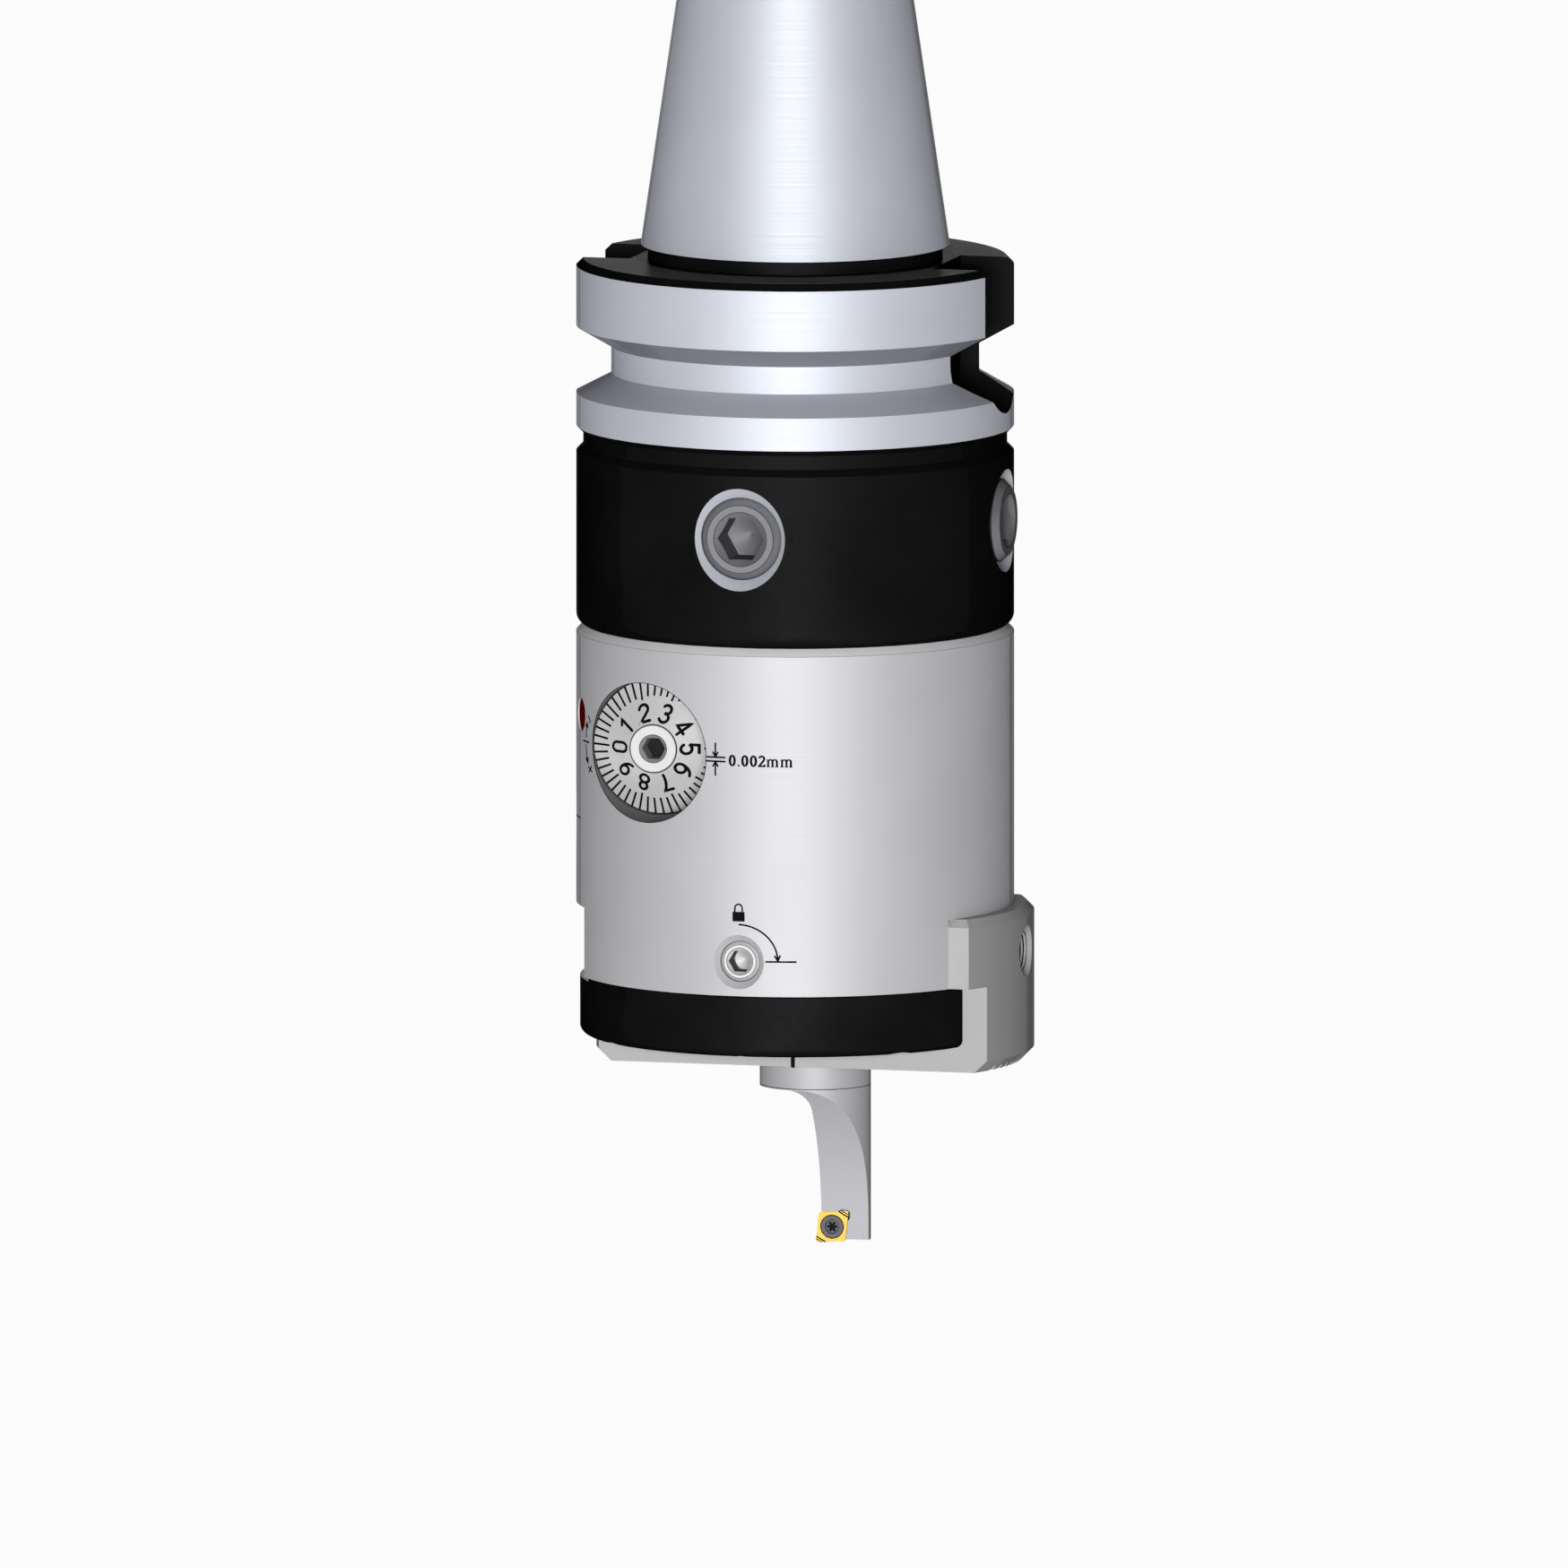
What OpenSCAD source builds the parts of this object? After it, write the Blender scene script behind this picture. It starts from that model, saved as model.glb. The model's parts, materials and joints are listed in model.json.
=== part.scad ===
/* [Taper shank] */
// Gauge diameter of the 7:24 taper, at Z = 0
gauge_d = 44.45; // [40:0.05:48]
// Length of the taper above the gauge plane
taper_len = 65.4; // [55:0.1:75]
// Diameter of the pilot bore for the pull stud
pilot_d = 17; // [15:0.5:19]
// Depth of the pilot bore for the pull stud
pilot_depth = 9; // [5:0.5:14]
// Wall diameter of the pull stud's thread
stud_thread_d = 14; // [12:0.1:14.5]
// Length of the pull stud's thread
stud_thread_len = 34; // [25:0.5:40]
// Diameter of the coolant bore along the axis
coolant_d = 8; // [5:0.5:11]

/* [Flange] */
// Outer diameter of the flange, the collar and the head
body_d = 63; // [60:0.5:68]
// Depth of the flange's top face below the gauge plane
flange_top = 2; // [1:0.1:3]
// Depth of the gripper groove's middle below the gauge plane
groove_z = 16.6; // [15:0.1:17.5]
// Diameter of the gripper groove's floor
groove_floor_d = 53; // [51:0.5:56]
// Width of the gripper groove's floor
groove_floor_w = 3.93; // [3:0.01:5]
// Width of the drive slots
drive_slot_w = 16.1; // [14:0.1:17]
// Distance of the drive slots' floor from the axis
drive_slot_x = 22.5; // [21.5:0.1:25]
// Depth of the drive slots' lowest point below the gauge plane
drive_slot_end = 23.6; // [20:0.1:24.5]
// Depth of the flange's lower edge below the gauge plane
flange_end = 27; // [26:0.1:28]
// Depth of the holder's lower face below the gauge plane
holder_end = 55; // [50:0.5:60]

/* [Clamp screws] */
// Depth of the clamp screws below the gauge plane
clamp_z = 39.2; // [38:0.1:42]
// Thread diameter of the clamp screws
clamp_d = 12; // [10:0.5:12]
// Hex socket of the clamp screws, across flats
clamp_hex = 6; // [5:0.5:6.5]
// Diameter of the countersinks round the clamp screws
clamp_sink_d = 14.9; // [13.5:0.1:16]

/* [Head] */
// Diameter of the spigot that sits in the holder
spigot_d = 36; // [32:0.5:40]
// Length of the spigot
spigot_len = 27; // [24:0.5:27.5]
// Depth of the head's lower face below the gauge plane
head_end = 105.35; // [103:0.05:110]
// Width of the slide's guide in the head
guide_w = 32; // [30:0.5:33]
// Height of the slide's guide in the head
guide_h = 10.05; // [8.5:0.05:11]
// Slide centre's distance from the axis
slide_offset = 3; // [0:0.5:5]
// Longest distance of the slide's centre from the axis
slide_travel = 5; // [4:0.5:5]

/* [Dial] */
// Distance of the dial's axis from the middle, to the left
dial_x = 15; // [14:0.25:16]
// Depth of the dial's axis below the gauge plane
dial_z = 71; // [70:0.25:72]
// Diameter of the dial
dial_d = 19.8; // [18:0.1:20]
// Distance of the dial's rim from the middle of the head
dial_rim_y = 19.1; // [18.7:0.1:19.5]
// Height of the dial's cone
dial_cone_h = 4; // [3:0.1:5]
// Diameter of the spindle's end in the middle of the dial
hub_d = 6.9; // [6.6:0.1:7.5]
// Hex socket of the dial's spindle, across flats
dial_hex = 3; // [2.5:0.5:3.5]

/* [Worm drive] */
// Module of the worm and its wheel
gear_module = 0.8; // [0.78:0.01:0.82]
// Teeth of the worm wheel
wheel_teeth = 20; // [20:1:20]
// Pitch diameter of the worm
worm_pitch_d = 8; // [7.8:0.1:8.2]
// Pitch of the lead screw's thread
lead_pitch = 1; // [0.8:0.1:1.2]
// Thread diameter of the lead screw
lead_d = 10; // [9:0.25:10.5]

/* [Cover ring] */
// Diameter of the cover ring
ring_d = 61.9; // [61:0.1:62.5]
// Thickness of the cover ring
ring_h = 8.95; // [8.5:0.05:10]
// Width of the slide's stem
stem_w = 25; // [23:0.25:26]
// Thickness of the cover ring's wall at the closed end of its slot
ring_wall = 4.45; // [4:0.05:5]

/* [Boring bar] */
// Height of the slide's foot below the cover ring
foot_h = 3.54; // [3:0.02:5]
// Diameter of the boring bar's shank
bar_d = 16; // [14:0.5:17]
// Depth of the boring bar's lower end below the gauge plane
bar_end = 144.2; // [140:0.1:150]
// Depth of the boring bar's full cylinder below the gauge plane
bar_full_end = 121.9; // [120:0.1:125]
// Inscribed circle of the insert
insert_ic = 4.37; // [3.9:0.01:4.8]
// Thickness of the insert
insert_t = 1.8; // [1.5:0.1:2.4]

/* [Hidden] */
$fn = 96;

// Clearances: slip is the radial gap of a fit, air the gap beside a piece that nothing guides
slip = 0.02;
run = 0.04;
thrust_gap = 0.1;
washer_gap = 0.15;
pin_end_gap = 0.2;
air = 0.3;
// Extra depth of a cut beyond the face that it opens
eps = 0.5;

body_r = body_d / 2;
edge_chamfer = 1.1;

// Edges of the holder
taper_chamfer = 0.5;
flange_chamfer = 1;
flange_low_chamfer = 0.8;
neck_depth = 1;
neck_h = 2;
holder_fillet = 1.6;
pilot_chamfer = 0.6;

// Drive between the holder and the head
socket_depth = spigot_len + 1;
socket_chamfer = 1;
clamp_seat_depth = 1.2;
clamp_seat_r = spigot_d / 2 - clamp_seat_depth;
clamp_dog_d = 8;
clamp_dog_len = 1.6;
clamp_recess = 0.8;
clamp_proud = 0.3;
clamp_len = body_r - clamp_recess - clamp_seat_r - washer_gap;
drive_pin_r = 25;
drive_pin_d = 6;
drive_pin_len = 8;
spigot_seal_z = holder_end - 6;
spigot_seal_t = 2;
seal_gap = 0.05;
seal_side_gap = 0.2;

// Planes of the head, the slide and the ring, all below the gauge plane
guide_top = head_end - guide_h;
ring_end = head_end + ring_h;
slide_top = guide_top + slip;
slide_shoulder = head_end - run;
foot_top = ring_end + run;
slide_end = ring_end + foot_h;
foot_chamfer = 1.75;
serration_pitch = 1.93;
serration_depth = 0.8;
serration_half_w = 0.56;
serration_count = 10;
slot_end_x = -(ring_d / 2 - ring_wall);
stem_end_x = slot_end_x + air;

// Dial and its spindle: w is the distance from the head's middle towards the front
pocket_r = dial_d / 2 + 0.15;
dial_back_w = dial_rim_y - 1.6;
pocket_floor_w = dial_back_w - thrust_gap;
hub_face_w = dial_rim_y + dial_cone_h;
hub_chamfer = 0.15;
dial_hex_depth = 1.2 * dial_hex;
dial_pin_d = 1.2;
dial_pin_len = 3;
dial_seal_t = 1.6;
dial_seal_r = 7.4;
dial_seal_room = dial_seal_t + 2 * seal_gap;
front_bush_r = 5.5;
front_bush_back_w = 8;
journal_r = 3;
rear_journal_r = 2.5;
rear_bush_r = 5;
rear_bush_front_w = -9;
rear_bush_back_w = -14.2;
spindle_end_w = rear_bush_back_w + 0.4;
spindle_collar_w = 1.4;
spindle_collar_h = 1.5;

// Worm and wheel
worm_pitch = PI * gear_module;
worm_turns = 5;
worm_len = worm_turns * worm_pitch;
worm_slices = 16;
worm_r = worm_pitch_d / 2;
worm_tip_r = worm_r + gear_module;
worm_root_r = worm_r - 1.25 * gear_module;
worm_gap = 0.07;
pressure_angle = 20;
wheel_r = wheel_teeth * gear_module / 2;
wheel_tip_r = wheel_r + gear_module;
wheel_root_r = wheel_r - 1.25 * gear_module;
wheel_base_r = wheel_r * cos(pressure_angle);
wheel_gap = 0.02;
wheel_w = 5;
wheel_hub_len = 4;
wheel_hub_r = 6;
wheel_bore_r = 4;
wheel_pin_r = 1;
worm_cavity_r = worm_tip_r + 0.4;
worm_shoulder_w = -worm_len / 2 - 0.9;
worm_shoulder_h = 1.2;

// Lead screw, along X below the worm
lead_z = dial_z + worm_r + wheel_r;
lead_r = lead_d / 2;
plug_outer_x = 1.7 - body_r;
lead_left_x = plug_outer_x + 2.3;
lead_collar_r = 7;
lead_collar_w = 0.9;
wheel_right_x = -dial_x + wheel_w / 2;
wheel_left_x = -dial_x - wheel_w / 2;
collar_end_x = wheel_right_x + thrust_gap + lead_collar_w;
wheel_room_r = wheel_tip_r + 0.8;
wheel_room_x = collar_end_x + thrust_gap;
mid_journal_r = lead_r + 0.5;
mid_bush_r = 8;
thread_depth = 0.6;
nut_len = 12;
nut_x = 12;
nut_room_x = nut_x - nut_len / 2 - 0.5;
nut_room_end_x = slide_travel + nut_x + nut_len / 2 + 0.9;
nut_room_w = nut_room_end_x - nut_room_x;
nut_side_gap = 0.7;
nut_foot_gap = 0.4;
end_journal_r = 3.5;
end_bush_r = 6;
end_bush_x = nut_room_end_x + 4.4;
plug_washer_room = 1.1;
plug_inner_x = wheel_left_x - wheel_hub_len - plug_washer_room;
plug_slot_w = 2.4;
plug_slot_depth = 1.4;

// Nut and its two screws
nut_body_r = 7.5;
nut_foot_w = 20.8;
nut_foot_h = 9;
nut_seat_depth = 2;
nut_screw_y = 7;
nut_screw_d = 4;
cap_head_r = 3.5;
cap_head_h = 4;
cap_room_r = 3.8;
cap_hex = 3;
cap_recess = 0.5;
nut_screw_seat_z = slide_end - cap_head_h - cap_recess;
nut_thread_end_gap = 0.6;
nut_screw_end_gap = 1;

// Travel stop, in the head's ceiling and a slot in the slide's top
stop_x = -5;
stop_y = 12.3;
stop_r = 2;
stop_depth = 2.2;
stop_hold = 4.2;
stop_side_gap = 0.1;

// Lock screw and its pad, square to the slide's side
lock_z = 100.4;
lock_d = 6;
lock_sink_d = 7.85;
lock_recess = 0.7;
lock_len = 11;
lock_pad_d = 5;
lock_pad_gap = 0.1;
lock_dog_d = lock_d - 1.6;
lock_dog_len = 0.8;

// Cover ring and its screws, which stand clear of the slide's guide
ring_screw_r = ring_d / 2 - 4.25;
ring_screw_y = guide_w / 2 + nut_screw_d / 2 + 0.88;
ring_screw_x = sqrt(ring_screw_r * ring_screw_r - ring_screw_y * ring_screw_y);
ring_screw_shank = 12;
ring_fillet = 1.2;
ring_edge = 0.3;
ring_notch = 0.9;
ring_relief = 0.65;
ring_slot_gap = 0.05;

// Boring bar and insert
bar_top = guide_top + 3.2;
bar_step = 0.6;
bar_flat_h = 8;
bar_flat_x = bar_d / 2 - 0.5;
bar_clamp_z = 101.5;
bar_clamp_recess = 6;
bar_clamp_sink = 0.7;
bar_clamp_len = body_r - bar_clamp_recess - bar_flat_x;
bar_arc_r = 30;
bar_face_y = -0.3;
bar_tip_plane_z = 142;
bar_side_x = 1;
bar_side_fillet = 3;
tip_x = 0.15;
tip_z = 144.76;
insert_lead = 3.3;
insert_angle = 80.3;
insert_nose = 0.2;
insert_face_y = -0.45;
insert_edge = insert_ic / sin(insert_angle);
insert_span_x = cos(insert_lead) + cos(insert_lead + insert_angle);
insert_span_z = sin(insert_lead) + sin(insert_lead + insert_angle);
insert_mid_x = tip_x + insert_edge / 2 * insert_span_x;
insert_mid_z = tip_z - insert_edge / 2 * insert_span_z;
insert_relief_r = 0.95;
insert_relief_in = 0.6;
insert_relief_angle = 7;
insert_room_gap = 0.02;
insert_slice_t = 0.02;
insert_hole_r = 1.15;
insert_head_r = 1.6;
insert_head_h = 0.9;
insert_head_gap = 0.05;
insert_shank_r = insert_hole_r - 0.2;
insert_thread_r = insert_hole_r - 0.15;
insert_screw_len = 4.6;
insert_dish_r = 1;
insert_dish_depth = 0.12;
insert_star_d = 1.5;
insert_star_w = 0.4;
insert_star_depth = 0.6;

// Filler plug, in the head's side left of the dial
filler_angle = -63;
filler_z = 67.5;
filler_d = 5;
filler_depth = 4.5;
filler_recess = 0.3;

// Points of an arc about [cx, cy], from angle a0 to a1
function arc(cx, cy, r, a0, a1, n = 8) =
    [for (i = [0:n]) let (a = a0 + (a1 - a0) * i / n) [cx + r * cos(a), cy + r * sin(a)]];

// Radius of the worm's cross-section at an angle from the middle of its thread
function worm_radius(a) =
    let (u = worm_pitch * abs(a) / 360, half = worm_pitch / 4 - worm_gap)
    min(worm_tip_r, max(worm_root_r, worm_r + (half - u) / tan(pressure_angle)));

// Involute of an angle, in degrees
function involute(a) = tan(a) * 180 / PI - a;

// Half the angle that a wheel tooth spans at radius r
function tooth_half(r) =
    90 / wheel_teeth + involute(pressure_angle) - wheel_gap / wheel_r * 180 / PI
    - (r > wheel_base_r ? involute(acos(wheel_base_r / r)) : 0);

// Frame of the dial: X to the right, Y up and Z out of the head's front
module at_dial() {
    translate([-dial_x, 0, -dial_z]) rotate([90, 0, 0]) children();
}

// Frame of the lead screw: Z along the part's +X
module at_lead() {
    translate([0, 0, -lead_z]) rotate([0, 90, 0]) children();
}

// Frame of a radial hole: Z outwards, a is the angle from the front towards the right
module at_side(a, depth) {
    translate([0, 0, -depth]) rotate([0, 0, a]) rotate([90, 0, 0]) children();
}

// Places of the four ring screws
module at_ring_screws() {
    for (x = [-1, 1] * ring_screw_x, y = [-1, 1] * ring_screw_y) translate([x, y, 0]) children();
}

// A bar along X with an outline in Y and Z
module along_x(x0, x1) {
    translate([x0, 0, 0]) rotate([90, 0, 90]) linear_extrude(x1 - x0) children();
}

// A ring with a square section
module ring(r_in, r_out, z0, z1) {
    rotate_extrude() translate([r_in, z0]) square([r_out - r_in, z1 - z0]);
}

// A hexagonal prism, d across flats
module hex(d, h) {
    cylinder(d = d / cos(30), h = h, $fn = 6);
}

// A set screw whose outer end is at z = 0, with its body below
module set_screw(d, len, socket, dog_d, dog_len) {
    rim = d * 0.0875;
    difference() {
        rotate_extrude() polygon([
            [0, 0], [d / 2 - slip - rim, 0], [d / 2 - slip, -rim], [d / 2 - slip, -len + dog_len],
            [dog_d / 2, -len + dog_len], [dog_d / 2, -len], [0, -len]
        ]);
        translate([0, 0, -socket]) hex(socket, socket + eps);
        translate([0, 0, -socket - socket / 4]) cylinder(r1 = 0, r2 = socket / 2, h = socket / 4 + 0.01);
        translate([0, 0, -socket * 0.12]) cylinder(d1 = socket, d2 = socket * 1.32, h = socket * 0.12 + 0.001);
    }
}

// A cap screw whose head's seat is at z = 0, with its shank above and its head below
module cap_screw(d, shank) {
    difference() {
        union() {
            cylinder(d = d - 2 * slip, h = shank);
            translate([0, 0, -cap_head_h]) cylinder(r = cap_head_r, h = cap_head_h);
        }
        translate([0, 0, -cap_head_h - eps]) hex(cap_hex, cap_head_h / 2 + eps);
    }
}

module holder_form() {
    flank = (body_r - groove_floor_d / 2) * tan(30);
    relief_r = gauge_d / 2 - neck_depth;
    rise = 7 / 48;
    small_r = gauge_d / 2 - taper_len * rise;
    neck_r = body_r - neck_depth;
    rotate_extrude() polygon(concat(
        [
            [0, taper_len], [small_r - taper_chamfer, taper_len],
            [small_r + taper_chamfer * rise, taper_len - taper_chamfer],
            [gauge_d / 2, 0], [relief_r, 0], [relief_r, -flange_top],
            [body_r - flange_chamfer, -flange_top], [body_r, -flange_top - flange_chamfer],
            [body_r, -groove_z + groove_floor_w / 2 + flank],
            [groove_floor_d / 2, -groove_z + groove_floor_w / 2],
            [groove_floor_d / 2, -groove_z - groove_floor_w / 2],
            [body_r, -groove_z - groove_floor_w / 2 - flank],
            [body_r, -flange_end + flange_low_chamfer], [body_r - flange_low_chamfer, -flange_end],
            [neck_r, -flange_end], [neck_r, -flange_end - neck_h], [body_r, -flange_end - neck_h - neck_depth]
        ],
        arc(body_r - holder_fillet, -holder_end + holder_fillet, holder_fillet, 0, -90),
        [[0, -holder_end]]
    ));
}

module drive_slot() {
    slot_r = drive_slot_w / 2;
    translate([drive_slot_x, -slot_r, -drive_slot_end + slot_r])
        cube([body_r, drive_slot_w, drive_slot_end]);
    translate([drive_slot_x, 0, -drive_slot_end + slot_r])
        rotate([0, 90, 0]) cylinder(r = slot_r, h = body_r);
}

module holder() {
    thread_end = taper_len - pilot_depth - stud_thread_len;
    sink = (clamp_sink_d - clamp_d) / 2;
    color("dimgray") difference() {
        holder_form();
        for (side = [0, 180]) rotate([0, 0, side]) drive_slot();
        translate([0, 0, taper_len - pilot_depth]) cylinder(d = pilot_d, h = pilot_depth + eps);
        translate([0, 0, taper_len - pilot_chamfer])
            cylinder(d1 = pilot_d, d2 = pilot_d + 4 * pilot_chamfer, h = 2 * pilot_chamfer);
        translate([0, 0, thread_end]) cylinder(d = stud_thread_d, h = stud_thread_len + eps);
        translate([0, 0, -holder_end]) cylinder(d = coolant_d, h = thread_end + holder_end + eps);
        translate([0, 0, -holder_end - eps])
            cylinder(r = spigot_d / 2 + slip, h = socket_depth + eps);
        translate([0, 0, -holder_end - slip])
            cylinder(r1 = spigot_d / 2 + socket_chamfer, r2 = spigot_d / 2, h = socket_chamfer);
        for (a = [0:90:270]) at_side(a, clamp_z) {
            translate([0, 0, spigot_d / 4]) cylinder(d = clamp_d, h = body_r);
            translate([0, 0, body_r - sink]) cylinder(d1 = clamp_d, d2 = clamp_d + 4 * sink, h = 2 * sink);
        }
        translate([0, drive_pin_r, -holder_end - eps])
            cylinder(r = drive_pin_d / 2 + slip, h = drive_pin_len / 2 + pin_end_gap + eps);
    }
}

// Four clamp screws; the one on the right stands a little proud
module clamp_screws() {
    color("gray") for (a = [0:90:270])
        at_side(a, clamp_z)
            translate([0, 0, a == 90 ? body_r + clamp_proud : body_r - clamp_recess])
                set_screw(clamp_d, clamp_len, clamp_hex, clamp_dog_d, clamp_dog_len);
}

module head_form() {
    seat_w = clamp_dog_d / 2 + thrust_gap;
    rotate_extrude() polygon([
        [0, -holder_end + spigot_len], [spigot_d / 2 - edge_chamfer, -holder_end + spigot_len],
        [spigot_d / 2, -holder_end + spigot_len - edge_chamfer],
        [spigot_d / 2, -clamp_z + seat_w + clamp_seat_depth], [clamp_seat_r, -clamp_z + seat_w],
        [clamp_seat_r, -clamp_z - seat_w], [spigot_d / 2, -clamp_z - seat_w - clamp_seat_depth],
        [spigot_d / 2, -holder_end], [body_r - edge_chamfer, -holder_end],
        [body_r, -holder_end - edge_chamfer], [body_r, -head_end], [0, -head_end]
    ]);
}

// Pocket of the dial and the stepped bore of its spindle
module dial_bores() {
    at_dial() {
        translate([0, 0, pocket_floor_w]) cylinder(r = pocket_r, h = body_r);
        translate([0, 0, front_bush_back_w]) cylinder(r = front_bush_r, h = body_r);
        translate([0, 0, rear_bush_front_w]) cylinder(r = worm_cavity_r, h = body_r - rear_bush_front_w - eps);
        translate([0, 0, rear_bush_back_w]) cylinder(r = rear_bush_r, h = body_r);
        translate([0, 0, pocket_floor_w - dial_seal_t - seal_gap])
            ring(dial_seal_r - dial_seal_room / 2, dial_seal_r + dial_seal_room / 2, 0, dial_seal_t + eps);
    }
}

// Stepped bore of the lead screw, from the left, and the room in which the nut travels
module lead_bores() {
    at_lead() {
        translate([0, 0, -body_r - eps]) cylinder(r = wheel_room_r, h = body_r + eps + wheel_room_x);
        translate([0, 0, wheel_room_x - eps]) cylinder(r = mid_bush_r, h = nut_room_x - wheel_room_x + 2 * eps);
        translate([0, 0, nut_room_x]) cylinder(r = nut_body_r + nut_side_gap, h = nut_room_w);
        translate([0, 0, nut_room_end_x - eps]) cylinder(r = end_bush_r, h = end_bush_x - nut_room_end_x + eps);
    }
    foot_room_w = nut_foot_w + 2 * nut_foot_gap;
    body_room_w = 2 * (nut_body_r + nut_side_gap);
    translate([nut_room_x, -foot_room_w / 2, -guide_top - eps])
        cube([nut_room_w, foot_room_w, nut_foot_h + eps]);
    translate([nut_room_x, -body_room_w / 2, -guide_top - eps])
        cube([nut_room_w, body_room_w, guide_top - lead_z + eps]);
}

module head_body() {
    lock_sink = (lock_sink_d - lock_d) / 2;
    seal_room_h = spigot_seal_t + 2 * seal_side_gap;
    color("silver") difference() {
        head_form();
        translate([-body_r - eps, -guide_w / 2 - slip, -head_end - eps])
            cube([body_d + 2 * eps, guide_w + 2 * slip, guide_h + eps]);
        dial_bores();
        lead_bores();
        translate([0, 0, -spigot_seal_z])
            ring(spigot_d / 2 - spigot_seal_t - seal_gap, spigot_d, -seal_room_h / 2, seal_room_h / 2);
        translate([0, drive_pin_r, -holder_end - drive_pin_len / 2 - pin_end_gap])
            cylinder(r = drive_pin_d / 2 + slip, h = drive_pin_len);
        translate([stop_x, stop_y, -guide_top - eps]) cylinder(r = stop_r + slip, h = stop_hold + air + eps);
        at_side(0, lock_z) {
            translate([0, 0, guide_w / 2 - eps]) cylinder(d = lock_d, h = body_r);
            translate([0, 0, body_r - lock_sink])
                cylinder(d1 = lock_d, d2 = lock_d + 4 * lock_sink, h = 2 * lock_sink);
        }
        at_side(filler_angle, filler_z)
            translate([0, 0, body_r - filler_depth]) cylinder(r = filler_d / 2 + slip, h = filler_depth + eps);
        at_ring_screws() translate([0, 0, -head_end - eps])
            cylinder(d = nut_screw_d, h = ring_screw_shank);
    }
}

module spigot_o_ring() {
    color("black") translate([0, 0, -spigot_seal_z]) rotate_extrude()
        translate([spigot_d / 2 - spigot_seal_t / 2 - slip, 0]) circle(d = spigot_seal_t, $fn = 24);
}

module drive_pin() {
    color("gray") translate([0, drive_pin_r, -holder_end - drive_pin_len / 2])
        cylinder(d = drive_pin_d, h = drive_pin_len);
}

// Room of the pin between the dial and its spindle
module dial_pin_form(gap) {
    translate([hub_d / 2, 0, dial_back_w - gap]) cylinder(r = dial_pin_d / 2 + gap, h = dial_pin_len + gap);
}

module dial() {
    dial_r = dial_d / 2;
    bore_r = hub_d / 2 + slip;
    face_w = hub_face_w - dial_cone_h * hub_chamfer / (dial_r - bore_r);
    color("gainsboro") at_dial() difference() {
        rotate_extrude() polygon([
            [bore_r, dial_back_w], [dial_r, dial_back_w], [dial_r, dial_rim_y - seal_gap],
            [dial_r - seal_gap, dial_rim_y], [bore_r + hub_chamfer, face_w], [bore_r, face_w - hub_chamfer]
        ]);
        dial_pin_form(slip);
    }
}

// Thread of the worm, swept along its helix with a thread's middle towards the wheel
module worm_thread() {
    half = worm_pitch / 4 - worm_gap;
    tip_a = (half - (worm_tip_r - worm_r) * tan(pressure_angle)) * 360 / worm_pitch;
    root_a = (half + (worm_r - worm_root_r) * tan(pressure_angle)) * 360 / worm_pitch;
    angles = concat(
        [for (i = [-2:1]) tip_a * i / 2],
        [for (i = [0:4]) tip_a + (root_a - tip_a) * i / 5],
        [for (i = [0:4]) root_a + (360 - 2 * root_a) * i / 5],
        [for (i = [0:4]) 360 - root_a + (root_a - tip_a) * i / 5]
    );
    translate([0, 0, -worm_len / 2]) rotate([0, 0, 270 - 180 * worm_turns])
        linear_extrude(worm_len, twist = -360 * worm_turns, slices = worm_turns * worm_slices, $fn = 16)
            polygon([for (a = angles) worm_radius(a > 180 ? a - 360 : a) * [cos(a), sin(a)]]);
}

module dial_spindle() {
    core_r = worm_root_r - thrust_gap;
    shoulder_r = worm_root_r + worm_shoulder_h;
    collar_r = worm_root_r + spindle_collar_h;
    collar_w = front_bush_back_w - thrust_gap;
    mouth = dial_hex / 6;
    color("whitesmoke") at_dial() difference() {
        union() {
            rotate_extrude() polygon([
                [0, spindle_end_w], [rear_journal_r, spindle_end_w], [rear_journal_r, worm_shoulder_w],
                [shoulder_r, worm_shoulder_w], [shoulder_r, slip - worm_len / 2], [core_r, slip - worm_len / 2],
                [core_r, collar_w - spindle_collar_w], [collar_r, collar_w - spindle_collar_w],
                [collar_r, collar_w], [journal_r, collar_w],
                [journal_r, dial_back_w], [hub_d / 2, dial_back_w],
                [hub_d / 2, hub_face_w - hub_chamfer], [hub_d / 2 - hub_chamfer, hub_face_w], [0, hub_face_w]
            ]);
            worm_thread();
        }
        dial_pin_form(slip);
        translate([0, 0, hub_face_w - dial_hex_depth]) hex(dial_hex, dial_hex_depth + eps);
        translate([0, 0, hub_face_w - mouth])
            cylinder(r1 = dial_hex / 2, r2 = dial_hex / 2 + 2 * mouth, h = 2 * mouth);
    }
}

module dial_pin() {
    color("gray") at_dial() dial_pin_form(0);
}

module dial_o_ring() {
    color("black") at_dial() translate([0, 0, pocket_floor_w - dial_seal_t / 2 + 0.02])
        rotate_extrude() translate([dial_seal_r, 0]) circle(d = dial_seal_t, $fn = 24);
}

module front_bush() {
    color("goldenrod") at_dial()
        ring(journal_r + run, front_bush_r - slip, front_bush_back_w, pocket_floor_w - thrust_gap);
}

module rear_bush() {
    color("goldenrod") at_dial()
        ring(rear_journal_r + run, rear_bush_r - slip, rear_bush_back_w, rear_bush_front_w);
}

// A coned spring washer that fills the space between z0 and z1
module spring_washer(r_in, r_out, z0, z1) {
    t = (z1 - z0) * 0.45;
    rotate_extrude() polygon([[r_in, z1 - t], [r_in, z1], [r_out, z0 + t], [r_out, z0]]);
}

module spindle_washer() {
    color("darkgray") at_dial()
        spring_washer(rear_journal_r + washer_gap, rear_bush_r - nut_side_gap, rear_bush_front_w + slip,
                      worm_shoulder_w - slip);
}

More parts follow.
